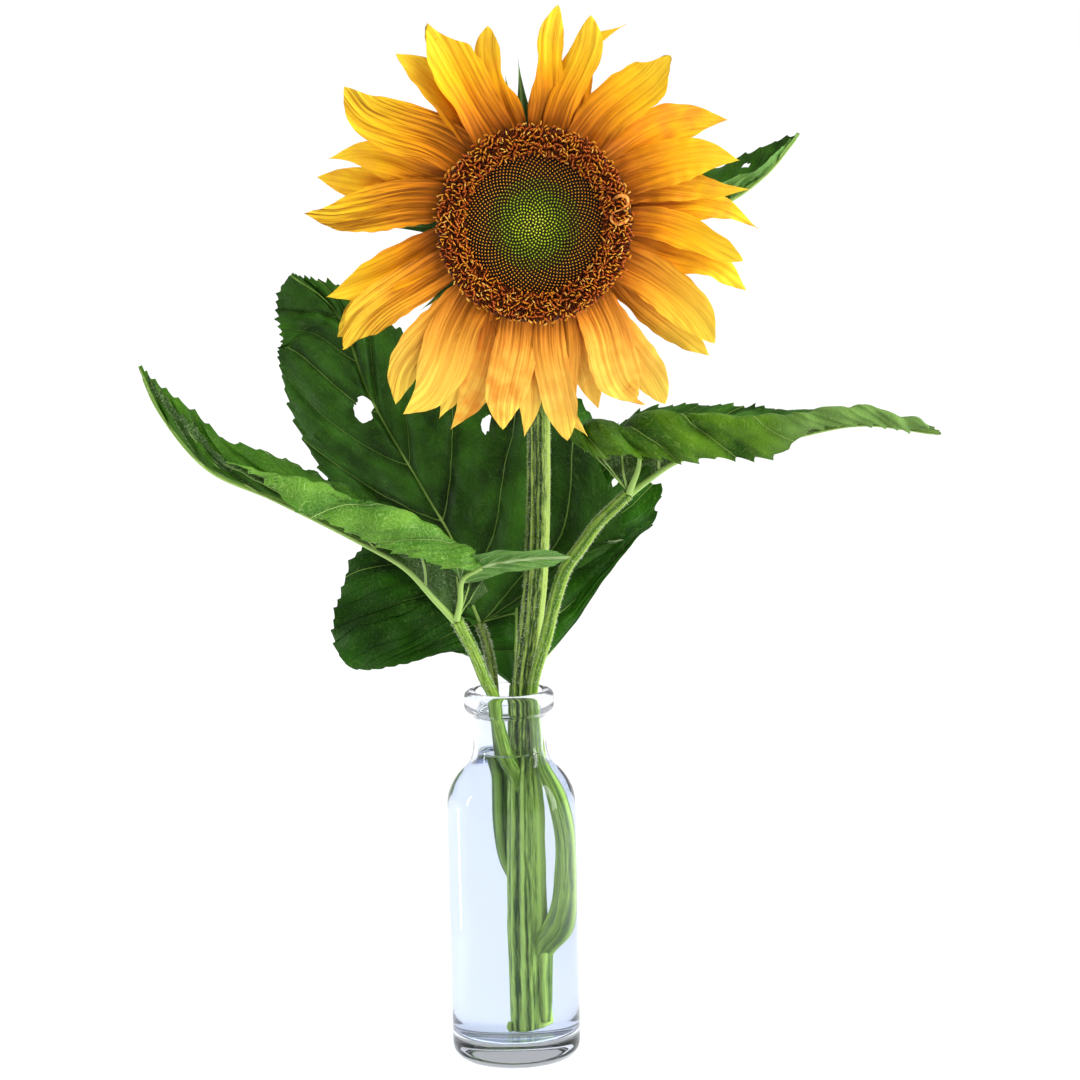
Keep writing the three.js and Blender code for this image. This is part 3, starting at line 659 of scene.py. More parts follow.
def build_limbs():
    stem = closed_limb(STEM, 11, 0.05, 3, STEM_SIDES, groove=GROOVE, strip=STRIP)
    points = stem[0]
    low = points[:, 2] < FOOT_HEIGHT
    fade = np.clip((FOOT_HEIGHT - points[low, 2]) / 4.7, 0, 1)
    points[low, 2] += np.clip(points[low, 0] - 2, 0, 9) * FOOT_SLANT * fade
    ridge = closed_limb(STEM_RIDGE, 3, 0.08, 8, 24)
    torn = closed_limb(TORN_BARK, 4, 0.12, 9, 16, pitch=0.8)
    add_skin("stem", [stem, ridge, torn], STEM_GREEN, ["stem"])
    neck = limb(NECK, 11, 0.05, 3, STEM_SIDES, strip=STRIP)
    neck[2][:, 0] += Curve(STEM).length
    add_skin("stem_neck", [neck], STEM_GREEN, ["stem_neck"])
    for index, (name, stops) in enumerate(STALKS.items()):
        nodes = STALK_NODES.get(name, [name])
        stalk = closed_limb(stops, 5, 0.06, 20 + index, STALK_SIDES)
        add_skin(name, [stalk], STALK_SKINS.get(name, STALK_GREEN), nodes)
        add_hairs(name, stops, nodes, 40 + index, 0.05)
    for name, stops in (("stem", STEM), ("stem_neck", NECK)):
        add_hairs(name, stops, [name], 50 + len(name), 0.03)


# ---- Blades: leaves, bracts and petals ----

GAUSS_AT, GAUSS_WEIGHT = np.polynomial.legendre.leggauss(16)
GAUSS_AT, GAUSS_WEIGHT = (GAUSS_AT + 1) / 2, GAUSS_WEIGHT / 2


class Blade:
    """A thin surface that leaves a midrib on both sides and bends at an even rate to its margins.

    A place on it is (along the midrib, across it), in mm, the right-hand half being positive. A half holds its
    width and, from the base to the tip, its rise off the midrib and its bend out to its margin, in degrees. The
    bend is even, or kept in a fold that starts fold_at mm from the midrib and is fold_run mm long.
    """

    def __init__(self, midrib, face, heel, relief, twist=(0, 0)):
        self.curve = Curve(midrib)
        self.length = self.curve.length
        self.face = np.array(face, float)
        self.heel = unit(np.array(heel, float))
        self.relief = relief
        self.twist = twist

    def axes(self, along):
        run = np.clip(along, 0, self.length)
        forward = self.curve.tangent(run)
        up = unit(self.face - forward * (forward @ self.face)[..., None])
        right = np.cross(forward, up)
        turn = np.radians(spread(run / self.length, self.twist))[..., None]
        up, right = up * np.cos(turn) + right * np.sin(turn), right * np.cos(turn) - up * np.sin(turn)
        foot = self.curve.point(run) + np.minimum(along, 0)[..., None] * -self.heel
        return foot, up, right, run / self.length

    def bare(self, along, across, half):
        foot, up, right, share = self.axes(along)
        reach = np.abs(across)
        rise = np.radians(spread(share, half["rise"]))
        bend = np.radians(spread(share, half["bend"]))
        out, high = 0, 0
        if "fold_at" in half:
            fold = spread(share, half["fold_at"])
            run = spread(share, half["fold_run"])
        for at, weight in zip(GAUSS_AT, GAUSS_WEIGHT):
            if "fold_at" in half:
                place = smoothstep((reach * at - fold) / run, 0, 1)
            else:
                place = reach * at / half["width"]
            out = out + weight * np.cos(rise + bend * place)
            high = high + weight * np.sin(rise + bend * place)
        return foot + right * (half["side"] * out * reach)[..., None] + up * (high * reach)[..., None]

    def crossed(self, surface, along, across, half, step):
        """Places of a surface and its unit normals, which point out of the upper face."""
        here = surface(along, across, half)
        ahead = surface(along + step, across, half) - here
        aside = surface(along, across + step * half["side"], half) - here
        return here, unit(np.cross(ahead, aside)) * -half["side"]

    def place(self, along, across, half):
        """The middle of the blade's thickness, with its relief."""
        base, normal = self.crossed(self.bare, along, across, half, 0.5)
        return base + normal * self.relief(along, across, half)[..., None]

    def sheet(self, along, across, half):
        """Places and unit normals of the finished surface."""
        return self.crossed(self.place, along, across, half, 0.35)


def skin(here, normal, thickness, along, across, side, material, **attributes):
    """A closed thin blade from a grid of places: an upper and a lower sheet that meet where thickness is 0.

    `flat` is where each point lies, along and across, and 1 on the upper sheet. attributes are named threes of
    numbers or grids.
    """
    rows, columns = here.shape[:2]
    lift = normal * thickness[..., None] / 2
    points = np.vstack([(here + lift).reshape(-1, 3), (here - lift).reshape(-1, 3)])
    faces = np.vstack([grid_faces(rows, columns, flip=side > 0),
                       grid_faces(rows, columns, flip=side < 0) + rows * columns])
    attributes["flat"] = (along, across, np.array([1.0, 0.0])[:, None, None])
    return points, faces, material, {
        key: np.stack([np.broadcast_to(value, (2, rows, columns)) for value in three], -1).reshape(-1, 3)
        for key, three in attributes.items()}


# ---- Leaves ----

LEAF_ROWS, LEAF_COLUMNS = 8, 26  # rows for each tooth, and columns in each half
SIDE_VEINS = [0.09, 0.16, 0.24, 0.33, 0.43, 0.53, 0.63, 0.76, 0.88]  # from the tip, 0, to the base, 1
VEIN_SIZE = [0.45, 0.55, 0.62, 0.7, 0.8, 0.9, 1.15, 0.8, 0.6]
VEIN_END = 0.62
QUILT = 2.0  # mm that a blade swells between its side veins
TOOTH = 2.1  # mm
LEAF_THICK, RIM_THICK = 0.55, 0.02
HOLE_CORE = 0.62  # share of a hole's reach whose faces go; the rest is drawn out to its rim
SPINE_STEPS, LATERAL_STEPS = 90, 30

LEAVES = {
    "leaf_left": dict(
        midrib=[(-22.1, -18.1, 203.2), (-30.8, -22, 213.6), (-43.3, -27, 228.5), (-62, -33, 241),
                (-99, -43, 262.3), (-126.5, -50, 277), (-146, -54, 303), (-153.7, -55, 322)],
        face=(0.4, 0, 0.92), heel=(1, -0.1, 0.6), seed=31,
        halves=[
            # This half takes the lit skin as painted light where it faces the top light; the next half takes
            # the green skin as painted shade.
            dict(side=-1, width=40, collar=20, teeth=36, skin="bright",
                 widths=[17, 33, 38, 40, 37, 27, 14, 9.5, 8.5, 6, 0], rise=[88, 88, 84, 80, 76, 70],
                 bend=[-80, -168, -172, -165, -60, -20], fold_at=[19, 15, 14, 13.5, 12, 7, 4, 3, 3, 2, 1],
                 fold_run=[15, 16, 16, 15, 14, 12]),
            dict(side=1, width=36, lobe=8, collar=5, teeth=24, skin="green",
                 widths=[8, 24, 34, 35, 31, 25, 19, 15.5, 13.5, 9, 0], rise=[20, 20, 24, 46, 72, 78, 72],
                 bend=[-10, -12, -14, -12, -10]),
        ],
        flaps=[
            dict(midrib=[(-19.6, -23, 221), (-11, -26.5, 227.5), (2.2, -27, 230.3), (15.3, -25.5, 231.2),
                         (28.9, -22, 230.7)],
                 face=(0, 1, 0.3), heel=(1, 0, 0),
                 halves=[
                     dict(side=1, width=7, collar=3, teeth=9, skin="pale", widths=[9, 9.5, 8.5, 7, 5.5, 4.2, 0],
                          rise=14, bend=-50),
                     dict(side=-1, width=6, collar=2, teeth=9, skin="pale", widths=[3, 6.5, 7, 6, 5, 3.8, 0],
                          rise=-4, bend=20),
                 ]),
        ],
        laterals=[[(-22, -19.5, 203.4), (-20.2, -21.4, 212), (-18.6, -24.6, 222.4), (-10, -27.6, 227.8)]]),
    "leaf_back": dict(
        midrib=[(-12.6, 18.3, 195.4), (-18, 24, 210), (-23, 30, 229), (-37, 38, 254), (-60, 48, 295),
                (-76, 56, 335), (-96, 60, 351.6)],
        face=(0, -1, 0.15), heel=(0.3, 0.2, -1), seed=32,
        halves=[
            dict(side=-1, width=36, collar=4, fullness=0.8, teeth=42, skin="dark", rise=[10, 8, 6],
                 bend=[-10, -8, -6]),
            dict(side=1, width=76, lobe=8, collar=4, fullness=2.0, teeth=44, skin="dark", rise=[4, 4, 4],
                 bend=[8, 6, 4]),
        ],
        holes=[dict(at=(112, -5.5), size=4.9, long=1.1), dict(at=(77.5, 40), size=2.7, long=1.2)]),
    "leaf_low": dict(
        midrib=[(2.6, 11.2, 167.5), (3.6, 20, 186), (4.6, 32, 206), (6, 52, 240), (8, 70, 280), (10, 84, 315)],
        face=(0, -1, 0.4), heel=(0, 0, -1), seed=33,
        halves=[
            dict(side=-1, width=84, lobe=4, vein_end=1.0, teeth=46, skin="deep",
                 margin=[(165, 0.5), (155, 16), (132, 36), (104, 54), (84, 63), (68, 69), (56, 76), (41, 81),
                         (28, 83), (14, 81), (6, 75), (5, 66), (8.5, 48), (14, 32), (12, 19), (0, 1)],
                 rise=[4, 4, 4], bend=[-6, -3, 0]),
            dict(side=1, width=66, teeth=30, skin="deep",
                 margin=[(165, 0.5), (156, 12), (140, 26), (124, 38), (111, 47), (101, 53), (99, 61), (95, 66),
                         (88, 63), (82, 63), (71, 55), (59, 43), (48, 31), (22, 14), (10, 7), (0, 1)],
                 rise=[8, 6, 4], bend=[-14, -7, 0]),
        ],
        holes=[dict(at=(99.6, 44.7), size=1.8, long=1.0), dict(at=(125, -16.4), size=4.2, long=1.1)]),
    "leaf_right": dict(
        midrib=[(54.8, -22, 258.8), (64, -22.5, 265.5), (74, -24, 272), (92, -28, 278.5), (120, -32, 282),
                (155, -36, 288), (189.3, -40, 283.4)],
        face=(-0.2, 0, 1), heel=(-0.9, 0.05, 0.35), seed=34,
        halves=[
            dict(side=1, width=50, lobe=21, collar=17, teeth=32, skin="olive", ruffle=2.4,
                 widths=[53, 47, 43, 36, 33, 29, 18.5, 17.5, 15.5, 12, 0], rise=[88, 88, 86, 84, 80, 70],
                 bend=[-168, -172, -172, -170, -165, -120],
                 fold_at=[28, 20, 13, 8.5, 6.5, 5, 4, 3.5, 3, 1.5, 0], fold_run=[18, 17, 15, 13, 11, 9]),
            # This far half takes the dark skin as painted shade.
            dict(side=-1, width=44, lobe=6, teeth=36, skin="dark",
                 margin=[(140, 0.3), (128, 7), (108, 15), (86, 21), (62, 26), (42, 28), (26, 31), (14, 33),
                         (8, 30), (6, 20), (4, 10), (0, 2)],
                 rise=[60, 50, 38, 30, 24, 20], bend=[-26, -22, -18, -12, -10]),
        ],
        laterals=[[(54.8, -23.4, 258.6), (56, -24.5, 262), (58.9, -26.4, 269.6), (59.8, -27.4, 275.5)]]),
    "leaf_top": dict(
        midrib=[(47.2, 19, 372.4), (72, 21, 374), (99, 21, 381), (119, 20.5, 394), (134.6, 20, 411.8)],
        face=(-0.4, 0, 0.9), heel=(-1, 0, 0), seed=35,
        halves=[
            dict(side=1, width=12, lobe=2, collar=2, teeth=16, skin="pale",
                 widths=[3, 8, 12, 13, 12.5, 11.5, 10.5, 9, 7, 4, 0], rise=[64, 60, 52], bend=[-24, -20, -12]),
            dict(side=-1, width=24, lobe=2, collar=2, teeth=16, skin="dark",
                 widths=[3, 12, 20, 24, 25, 23, 20, 17, 13, 8, 0], rise=[44, 50, 58], bend=[-10, -10, -6]),
        ],
        holes=[dict(at=(73, -9.8), size=1.2, long=1.0)]),
}


def leaf_outline(length, half, t, rng):
    """The foot of each row on the midrib and its end on the margin, teeth included."""
    sinus = smoothstep(t, 0.8, 1)
    lobe = half.get("lobe", 0)
    along = lerp(-lobe, length, (1 + np.cos(math.pi * t)) / 2) + lobe * sinus
    if "margin" in half:
        line = Curve([(*stop, 0) for stop in half["margin"]])
        along, heart = line.point(t * line.length)[:, :2].T
        sinus = 0
    elif "widths" in half:
        heart = spread(along / length, half["widths"])
    else:
        heart = half["width"] * np.sin(math.pi * t ** half["fullness"]) ** 1.05
    across = lerp(heart, half.get("collar", 0), sinus)
    foot = length * np.maximum(0, 1 - t / half.get("vein_end", VEIN_END)) ** 1.1
    phase = (1 - t) * half["teeth"]
    tooth = rng.uniform(0.4, 1.4, half["teeth"] + 1)[np.floor(phase).astype(int)]
    saw = (phase % 1) ** 1.7 * (1 - smoothstep(phase % 1, 0.86, 1.0))
    fade = np.clip(t / 0.05, 0, 1) * np.clip((1 - t) / 0.1, 0, 1)
    reach = TOOTH * tooth * saw * fade * np.clip(half["width"] / 40, 0.2, 1)
    return foot, along + reach * 0.7, np.maximum(across - 0.4, 0) + reach


def cut_holes(along, across, holes):
    """Draws places inside each ragged hole out to its rim.

    Returns the moved places, which of them lie inside a hole and which on a rim.
    """
    inside = np.zeros(along.shape, bool)
    rim = np.zeros(along.shape, bool)
    for index, hole in enumerate(holes):
        du = (along - hole["at"][0]) / hole["long"]
        dv = across - hole["at"][1]
        angle = np.arctan2(dv, du)
        edge = hole["size"] * (1 + 0.22 * np.sin(2 * angle + index) + 0.13 * np.sin(5 * angle + 2 * index))
        reach = np.maximum(np.hypot(du, dv), 1e-6)
        deep = reach < edge * HOLE_CORE
        drawn = (reach < edge) & ~deep
        scale = np.where(drawn, edge / reach, 1)
        along = hole["at"][0] + du * scale * hole["long"]
        across = hole["at"][1] + dv * scale
        inside |= deep
        rim |= drawn
    return along, across, inside, rim


def leaf_relief(seed):
    """Waves of the blade and a rippled margin, in mm."""
    broad, fine = Waves(seed, 42), Waves(seed + 50, 12)

    def relief(along, across, half):
        share = np.clip(np.abs(across) / half["width"], 0, 1)
        swell = 2.8 * broad(along, across) * smoothstep(share, 0.02, 0.6)
        ripple = 0.6 * fine(along, across) * smoothstep(share, 0, 0.2) + 1.2 * share**2 * fine(along, 0)
        return swell + half.get("ruffle", 1) * ripple

    return relief


def half_parts(blade, half, rng, holes=(), ribs=True):
    """The two sheets of one half of a leaf, and the raised ribs on its underside."""
    rows = half["teeth"] * LEAF_ROWS + 1
    t = np.linspace(0.003, 1, rows)
    foot, end, width = leaf_outline(blade.length, half, t, rng)
    c = np.linspace(0, 1, LEAF_COLUMNS + 1)
    along = foot[:, None] + (end - foot)[:, None] * c**1.25
    across = width[:, None] * c * half["side"]
    along, across, inside, rim = cut_holes(along, across, holes)
    here, normal = blade.sheet(along, across, half)
    count = len(SIDE_VEINS)
    at = np.interp(t, SIDE_VEINS, np.arange(count) + 1.0, left=0.5, right=count + 0.5)[:, None]
    gap = np.hypot(np.gradient(along, axis=0), np.gradient(across, axis=0))
    pitch = gap / np.maximum(np.abs(np.gradient(at, axis=0)), 1e-3)
    apart = np.abs(at - np.round(at)) * pitch
    here = here + normal * (QUILT * smoothstep(apart, 0, 8) * smoothstep(c, 0, 0.12) * (1 - c**4))[..., None]
    thickness = np.where(rim, RIM_THICK, LEAF_THICK * (1 - 0.97 * c**8))
    size = np.interp(at, np.arange(count) + 1.0, VEIN_SIZE)
    scale = np.clip(pitch / (size * (1 - 0.7 * c)), 0, 60) * (c > 0.001)
    points, faces, *rest = skin(here, normal, thickness, along, across, half["side"], LEAF_SKINS[half["skin"]],
                                veins=(at, scale, c))
    gone = np.concatenate([inside.ravel(), inside.ravel()])
    parts = [(points, faces[~gone[faces].any(1)], *rest)]
    if not ribs:
        return parts
    reach = slice(0, int(LEAF_COLUMNS * 0.9))
    for vein, size in zip(SIDE_VEINS, VEIN_SIZE):
        row = int(round(vein * (rows - 1)))
        if inside[row].any() or width[row] < 7:
            continue
        line = here[row, reach] - normal[row, reach] * 0.25 * size
        parts.append((*tube(line, 0.55 * size * (1 - 0.75 * c[reach])), RIB_PALE, {}))
    return parts


def build_leaf(name, leaf):
    rng = np.random.default_rng(leaf["seed"])
    relief = leaf_relief(leaf["seed"])
    blade = Blade(leaf["midrib"], leaf["face"], leaf["heel"], relief)
    parts = []
    for half in leaf["halves"]:
        holes = [hole for hole in leaf.get("holes", []) if hole["at"][1] * half["side"] > 0]
        parts += half_parts(blade, half, rng, holes)
    for flap in leaf.get("flaps", []):
        lobe = Blade(flap["midrib"], flap["face"], flap["heel"], lambda *place: relief(*place) * 0.3)
        for half in flap["halves"]:
            parts += half_parts(lobe, half, rng, ribs=False)
    run = np.linspace(0, blade.length * 0.97, SPINE_STEPS)
    half = leaf["halves"][0]
    spine, _ = blade.sheet(run, np.full_like(run, 0.01 * half["side"]), half)
    size = lerp(1.7, 0.3, (run / blade.length) ** 0.55)
    up = blade.axes(run)[1]
    parts.append((*tube(spine - up * size[:, None] * 0.5, size, 10), RIB_PALE, {}))
    for stops in leaf.get("laterals", []):
        curve = Curve(stops)
        line = curve.point(np.linspace(0, curve.length, LATERAL_STEPS))
        parts.append((*tube(line, np.linspace(1.6, 0.9, LATERAL_STEPS), 10), RIB_PALE, {}))
    add_piece(name + "_blade", parts, [name])


# ---- Flower head, in its own frame, whose +Z looks out of its face ----

HEAD_CENTRE = np.array([16.0, -45.0, 378.0])
LOOK_UP = 3  # degrees
COLUMN = 36.5  # radius at which the petals' roots lie
RIM_START, RIM_FLORETS, RIM_END = 28.6, (28.9, 40.2), 41.6
FIRST_PETAL, PETAL_PITCH = -2.75, 1.15
GOLDEN = math.radians(137.50776)
PETAL_ROWS, PETAL_COLUMNS = 56, 14
PETAL_THICK = 0.42
BRACT_ROWS, BRACT_COLUMNS = 16, 6
BRACT_RINGS = [(22, 73, 37.5, -8.2), (22, 66, 36.0, -12.5)]  # count, reach, start and height of each
BRACT_WIDTH, BRACT_THICK = 6.2, 0.6
BUD_PITCH, FLORET_PITCH = 1.46, 1.5

tilt = math.radians(90 - LOOK_UP)
HEAD_TURN = np.array([[1, 0, 0], [0, math.cos(tilt), -math.sin(tilt)], [0, math.sin(tilt), math.cos(tilt)]])


def from_head(points):
    return np.asarray(points) @ HEAD_TURN.T + HEAD_CENTRE


def to_head(points):
    return (np.asarray(points) - HEAD_CENTRE) @ HEAD_TURN


def turned(x, y, angle):
    return x * np.cos(angle) - y * np.sin(angle), x * np.sin(angle) + y * np.cos(angle)


def disc_height(radius):
    """The disc's face: a shallow dip in its middle and a raised ring of open florets."""
    dip = 1.5 + 0.9 * smoothstep(radius, 2, 20) - 0.9 * smoothstep(radius, 22, 29)
    return dip + 1.6 * smoothstep(radius, 30, 34) - 2.6 * smoothstep(radius, 37, 42.5)


def petal_measures(name):
    """Direction of the tip (radians), reach, width and layer of a CAD petal, read off its solid."""
    points = to_head(np.array([vertex.co[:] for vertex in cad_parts[name].data.vertices]) / MM)
    radius = np.hypot(points[:, 0], points[:, 1])
    tip = points[radius.argmax()]
    root = points[radius < COLUMN + 1.5]
    layer = round((FIRST_PETAL - root[:, 2].mean()) / PETAL_PITCH)
    start = root.mean(0)
    line = (tip - start)[:2] / np.linalg.norm((tip - start)[:2])
    offset = (points[:, 0] - start[0]) * -line[1] + (points[:, 1] - start[1]) * line[0]
    return math.atan2(tip[1], tip[0]), radius.max(), np.ptp(offset), layer


def look(bow, point, peak, full, **more):
    """How a petal differs from its neighbours.

    bow: degrees that its middle swings anticlockwise; point: 0.5 blunt to 2 drawn out; peak: share of its
    length where it is widest; full: how long it stays wide; waist: narrowing past the peak; curl: mm that its
    tip comes forward; streak and warm: strength of its brown lines and orange blush; fold: degrees that its
    halves rise off the midrib; lobes: the (place across it, share of its reach) of each tip.
    """
    return dict(bow=bow, point=point, peak=peak, full=full, **more)


PETAL_LOOKS = {
    1: look(2, 1.3, 0.35, 1.0, warm=0.6), 2: look(3, 1.3, 0.45, 1.3), 3: look(6, 1.3, 0.42, 1.15, warm=0.7),
    4: look(1, 0.55, 0.5, 1.9, streak=0.35, lobes=[(0.5, 1.0), (-0.45, 0.985)]),
    5: look(7, 1.9, 0.4, 1.1, curl=3), 6: look(-1, 0.95, 0.6, 1.5, streak=0.4),
    7: look(0, 0.85, 0.3, 1.5, waist=0.32, streak=0.35), 8: look(3, 0.75, 0.3, 2.2, waist=0.4, streak=0.3),
    9: look(1, 0.75, 0.45, 1.7, streak=0.3, lobes=[(0.1, 1.0), (-0.85, 0.98)]), 10: look(-3, 1.0, 0.42, 1.3),
    11: look(2, 1.0, 0.45, 1.5, streak=1.0, fold=18), 12: look(-4, 2.0, 0.42, 1.3),
    13: look(2, 1.2, 0.5, 1.5, warm=0.5), 14: look(1, 1.1, 0.4, 1.2, streak=0.6, warm=1.0),
    15: look(1, 1.3, 0.45, 1.25, streak=1.2, fold=14), 16: look(3, 1.3, 0.45, 1.25),
    17: look(-3, 1.0, 0.5, 1.6, streak=0.8),
    18: look(-2, 0.65, 0.5, 1.8, streak=0.9, fold=22, lobes=[(0.5, 0.985), (-0.35, 1.0)]),
    19: look(-2, 1.1, 0.45, 1.4, streak=0.6), 20: look(3, 1.2, 0.45, 1.3, curl=4),
    22: look(5, 1.3, 0.4, 1.15, warm=1.0), 23: look(1, 1.0, 0.5, 1.4, warm=1.0, curl=5),
    25: look(-2, 0.95, 0.6, 1.5, warm=0.5), 26: look(-4, 1.3, 0.38, 1.15, curl=4),
    28: look(-2, 0.65, 0.5, 1.8, warm=0.6, curl=4, lobes=[(0.3, 1.0), (-0.8, 0.93)]),
    29: look(-2, 0.9, 0.5, 1.6), 31: look(4, 1.0, 0.48, 1.5, streak=0.2), 32: look(2, 1.2, 0.5, 1.3),
    33: look(4, 0.9, 0.5, 1.35, waist=0.15), 34: look(5, 1.6, 0.38, 1.1, warm=0.9),
}


def petal_look(name, rng):
    """The look of a petal: drawn at random where PETAL_LOOKS doesn't set it."""
    drawn = look(rng.uniform(-3, 3), rng.uniform(1.0, 1.4), rng.uniform(0.38, 0.52), rng.uniform(1.15, 1.5),
                 waist=0, curl=rng.uniform(-1, 2), streak=rng.uniform(0, 0.35), warm=rng.uniform(0, 0.4),
                 fold=rng.uniform(8, 26), lobes=[(0, 1)])
    return {**drawn, **PETAL_LOOKS.get(int(name.removeprefix("petal_")), {})}


def petal_width(share, look):
    """The width of a petal at shares of its length, as a share of its greatest."""
    rise = 0.68 + 0.32 * np.sin(math.pi / 2 * np.clip(share / look["peak"], 0, 1))
    past = np.clip((share - look["peak"]) / (1 - look["peak"]), 0, 1)
    fall = np.cos(math.pi / 2 * past ** (look["full"] * 0.95)) ** (look["point"] * 0.86)
    waist = 1 - look["waist"] * np.sin(math.pi * np.clip(past * 1.25, 0, 1)) ** 2
    return rise * fall * waist


def petal_midrib(look, direction, reach, layer, rng):
    lean = math.radians(12) * math.cos(direction)
    slope = math.tan(math.radians(5 * (1 - layer)))
    sway, hook = rng.uniform(-1.6, 1.6), rng.uniform(-2.6, 2.6)
    stops = []
    for share in (0, 0.15, 0.35, 0.6, 0.8, 1):
        radius = lerp(COLUMN - 2, reach, share)
        angle = direction + lean * (1 - share) ** 1.5 + math.radians(look["bow"]) * 4 * share * (1 - share)
        angle += math.radians(sway * math.sin(2 * math.pi * share) + hook * share**3 * (1 - share) * 4)
        rise = FIRST_PETAL - PETAL_PITCH * layer + slope * max(0.0, radius - 41) + look["curl"] * share**3
        stops.append((radius * math.cos(angle), radius * math.sin(angle), rise))
    return stops


def build_petal(name, rng):
    direction, reach, width, layer = petal_measures(name)
    look = petal_look(name, rng)
    stops = petal_midrib(look, direction, reach, layer, rng)
    cup = rng.uniform(-46, 10)
    rise = [look["fold"], look["fold"], look["fold"] * 0.6]
    halves = [{"side": side, "width": width / 2 * 1.12, "rise": rise,
               "bend": [cup * 0.8 + shift, cup + shift, cup * 0.5 + shift]}
              for side, shift in ((1, rng.uniform(-14, 14)), (-1, rng.uniform(-14, 14)))]
    wave, ripple = Waves(rng.integers(1 << 30), 30), Waves(rng.integers(1 << 30), 9)
    pitch = rng.uniform(1.7, 2.3)

    def relief(along, across, half):
        share = np.clip(np.abs(across) / half["width"], 0, 1)
        groove = (0.10 + 0.14 * look["streak"]) * np.cos(across * pitch) * smoothstep(share, 1.0, 0.6)
        return 1.2 * wave(along, across) * share + 1.4 * groove + 0.3 * ripple(along, across) * share

    blade = Blade(stops, (0, 0, 1), (0, 0, -1), relief, twist=rng.uniform(-1, 1, 2) * (8, 26))
    share = np.sin(math.pi / 2 * np.linspace(0, 1, PETAL_ROWS))
    c = np.linspace(0, 1, PETAL_COLUMNS)
    seed = rng.uniform(0, 90)
    # Painted light: petals that point downwards take more of the lit copy of the colours.
    lit_share = smoothstep(-math.sin(direction), 0.3, 1.0)
    split = len(look["lobes"]) > 1
    parts = []
    for half in halves:
        wide = half["width"] * petal_width(share, look) * (1 + 0.03 * ripple(share * blade.length, 0))
        place = c * half["side"]
        short = np.min([1 - far + 0.28 * np.abs(place - middle) for middle, far in look["lobes"]], axis=0)
        along = blade.length * share[:, None] * (1 - split * short[None] * share[:, None] ** 5)
        across = wide[:, None] * place
        here, normal = blade.sheet(along, across, half)
        parts.append(skin(from_head(here), normal @ HEAD_TURN.T, PETAL_THICK * (1 - 0.95 * c[None] ** 8), along,
                          across, half["side"], PETAL_GOLD, petal=(along / blade.length, seed, lit_share),
                          petal_look=(look["streak"], look["warm"], 0)))
    add_piece(name + "_ray", parts, [name])


def add_plain(name, shape, material, node):
    """A piece in the head's frame. material is the name, colour and roughness of a plain one."""
    points, faces = shape
    add_piece(name, [(from_head(points), faces, plain_material(*material), {})], [node])


def disc_bed(radii, sink, sides, inner=(), outer=()):
    """A turned bed that lies sink mm under the disc's face."""
    profile = [*inner, *((r, disc_height(r) - sink) for r in radii), *outer]
    return lathe(profile[::-1], sides)


def spiral(first, last, pitch):
    """Floret places (radius, angle) of a sunflower spiral whose neighbours are about pitch apart."""
    scale = pitch / 1.9
    index = np.arange(int((first / scale) ** 2), int((last / scale) ** 2))
    return scale * np.sqrt(index + 0.5), index * GOLDEN


def scattered(shape, radius, angle, height, sizes, lean, rng):
    """Copies of a small shape stood on the disc, each turned, sized and leaned outwards."""
    points, faces = shape
    count = len(radius)
    spin = rng.uniform(0, 2 * math.pi, count)[:, None]
    points = np.repeat(points[None], count, 0) * sizes[:, None, :]
    (x, y), z, lean = turned(points[..., 0], points[..., 1], spin), points[..., 2], lean[:, None]
    out = x * np.cos(lean) + z * np.sin(lean) + radius[:, None]
    up = -x * np.sin(lean) + z * np.cos(lean) + height[:, None]
    placed = np.stack([*turned(out, y, angle[:, None]), up], -1).reshape(-1, 3)
    return placed, (faces + np.arange(count)[:, None, None] * len(shape[0])).reshape(-1, faces.shape[1])


BUD_ZONES = [
    # name, inner and outer radius, size, dark and light
    ("bud_core", 0.0, 5.2, 1.1, "c0dc16", "f4ff6c"), ("bud_lime", 5.2, 9.8, 1.2, "90b40c", "d8ec3c"),
    ("bud_green", 9.8, 14.8, 1.3, "5c7c08", "b2c828"), ("bud_olive", 14.8, 19.5, 1.42, "303606", "bcae20"),
    ("bud_brown", 19.5, 24.5, 1.5, "1c0d03", "e09e22"), ("bud_dark", 24.5, 29.0, 1.5, "180903", "e8941e"),
]
STYLES = [("gold", "f2a024", 0, 0.36), ("amber", "d2681c", 0.36, 0.76), ("straw", "ffc65a", 0.76, 0.85)]


def build_buds(rng):
    body = lathe([(0.60, -0.4), (0.58, 0.35), (0.4, 0.9), (0.12, 1.15)], 7)
    tip = lathe([(0.30, 0.72), (0.33, 1.1), (0.22, 1.5), (0.03, 1.62)], 6)
    for name, first, last, across, dark, light in BUD_ZONES:
        radius, angle = spiral(first, last, BUD_PITCH)
        count = len(radius)
        place = radius + rng.normal(0, 0.05, count)
        size = np.stack([np.full(count, across / BUD_PITCH)] * 2 + [rng.uniform(0.85, 1.15, count)], -1)
        for part, shape, colour in (("cup", body, dark), ("tip", tip, light)):
            buds = scattered(shape, place, angle, disc_height(radius) - 0.5, size, radius * 0.012 - 0.1, rng)
            add_plain(f"{name}_{part}", buds, (f"{name}_{part}", colour, 0.6), "disc_centre")


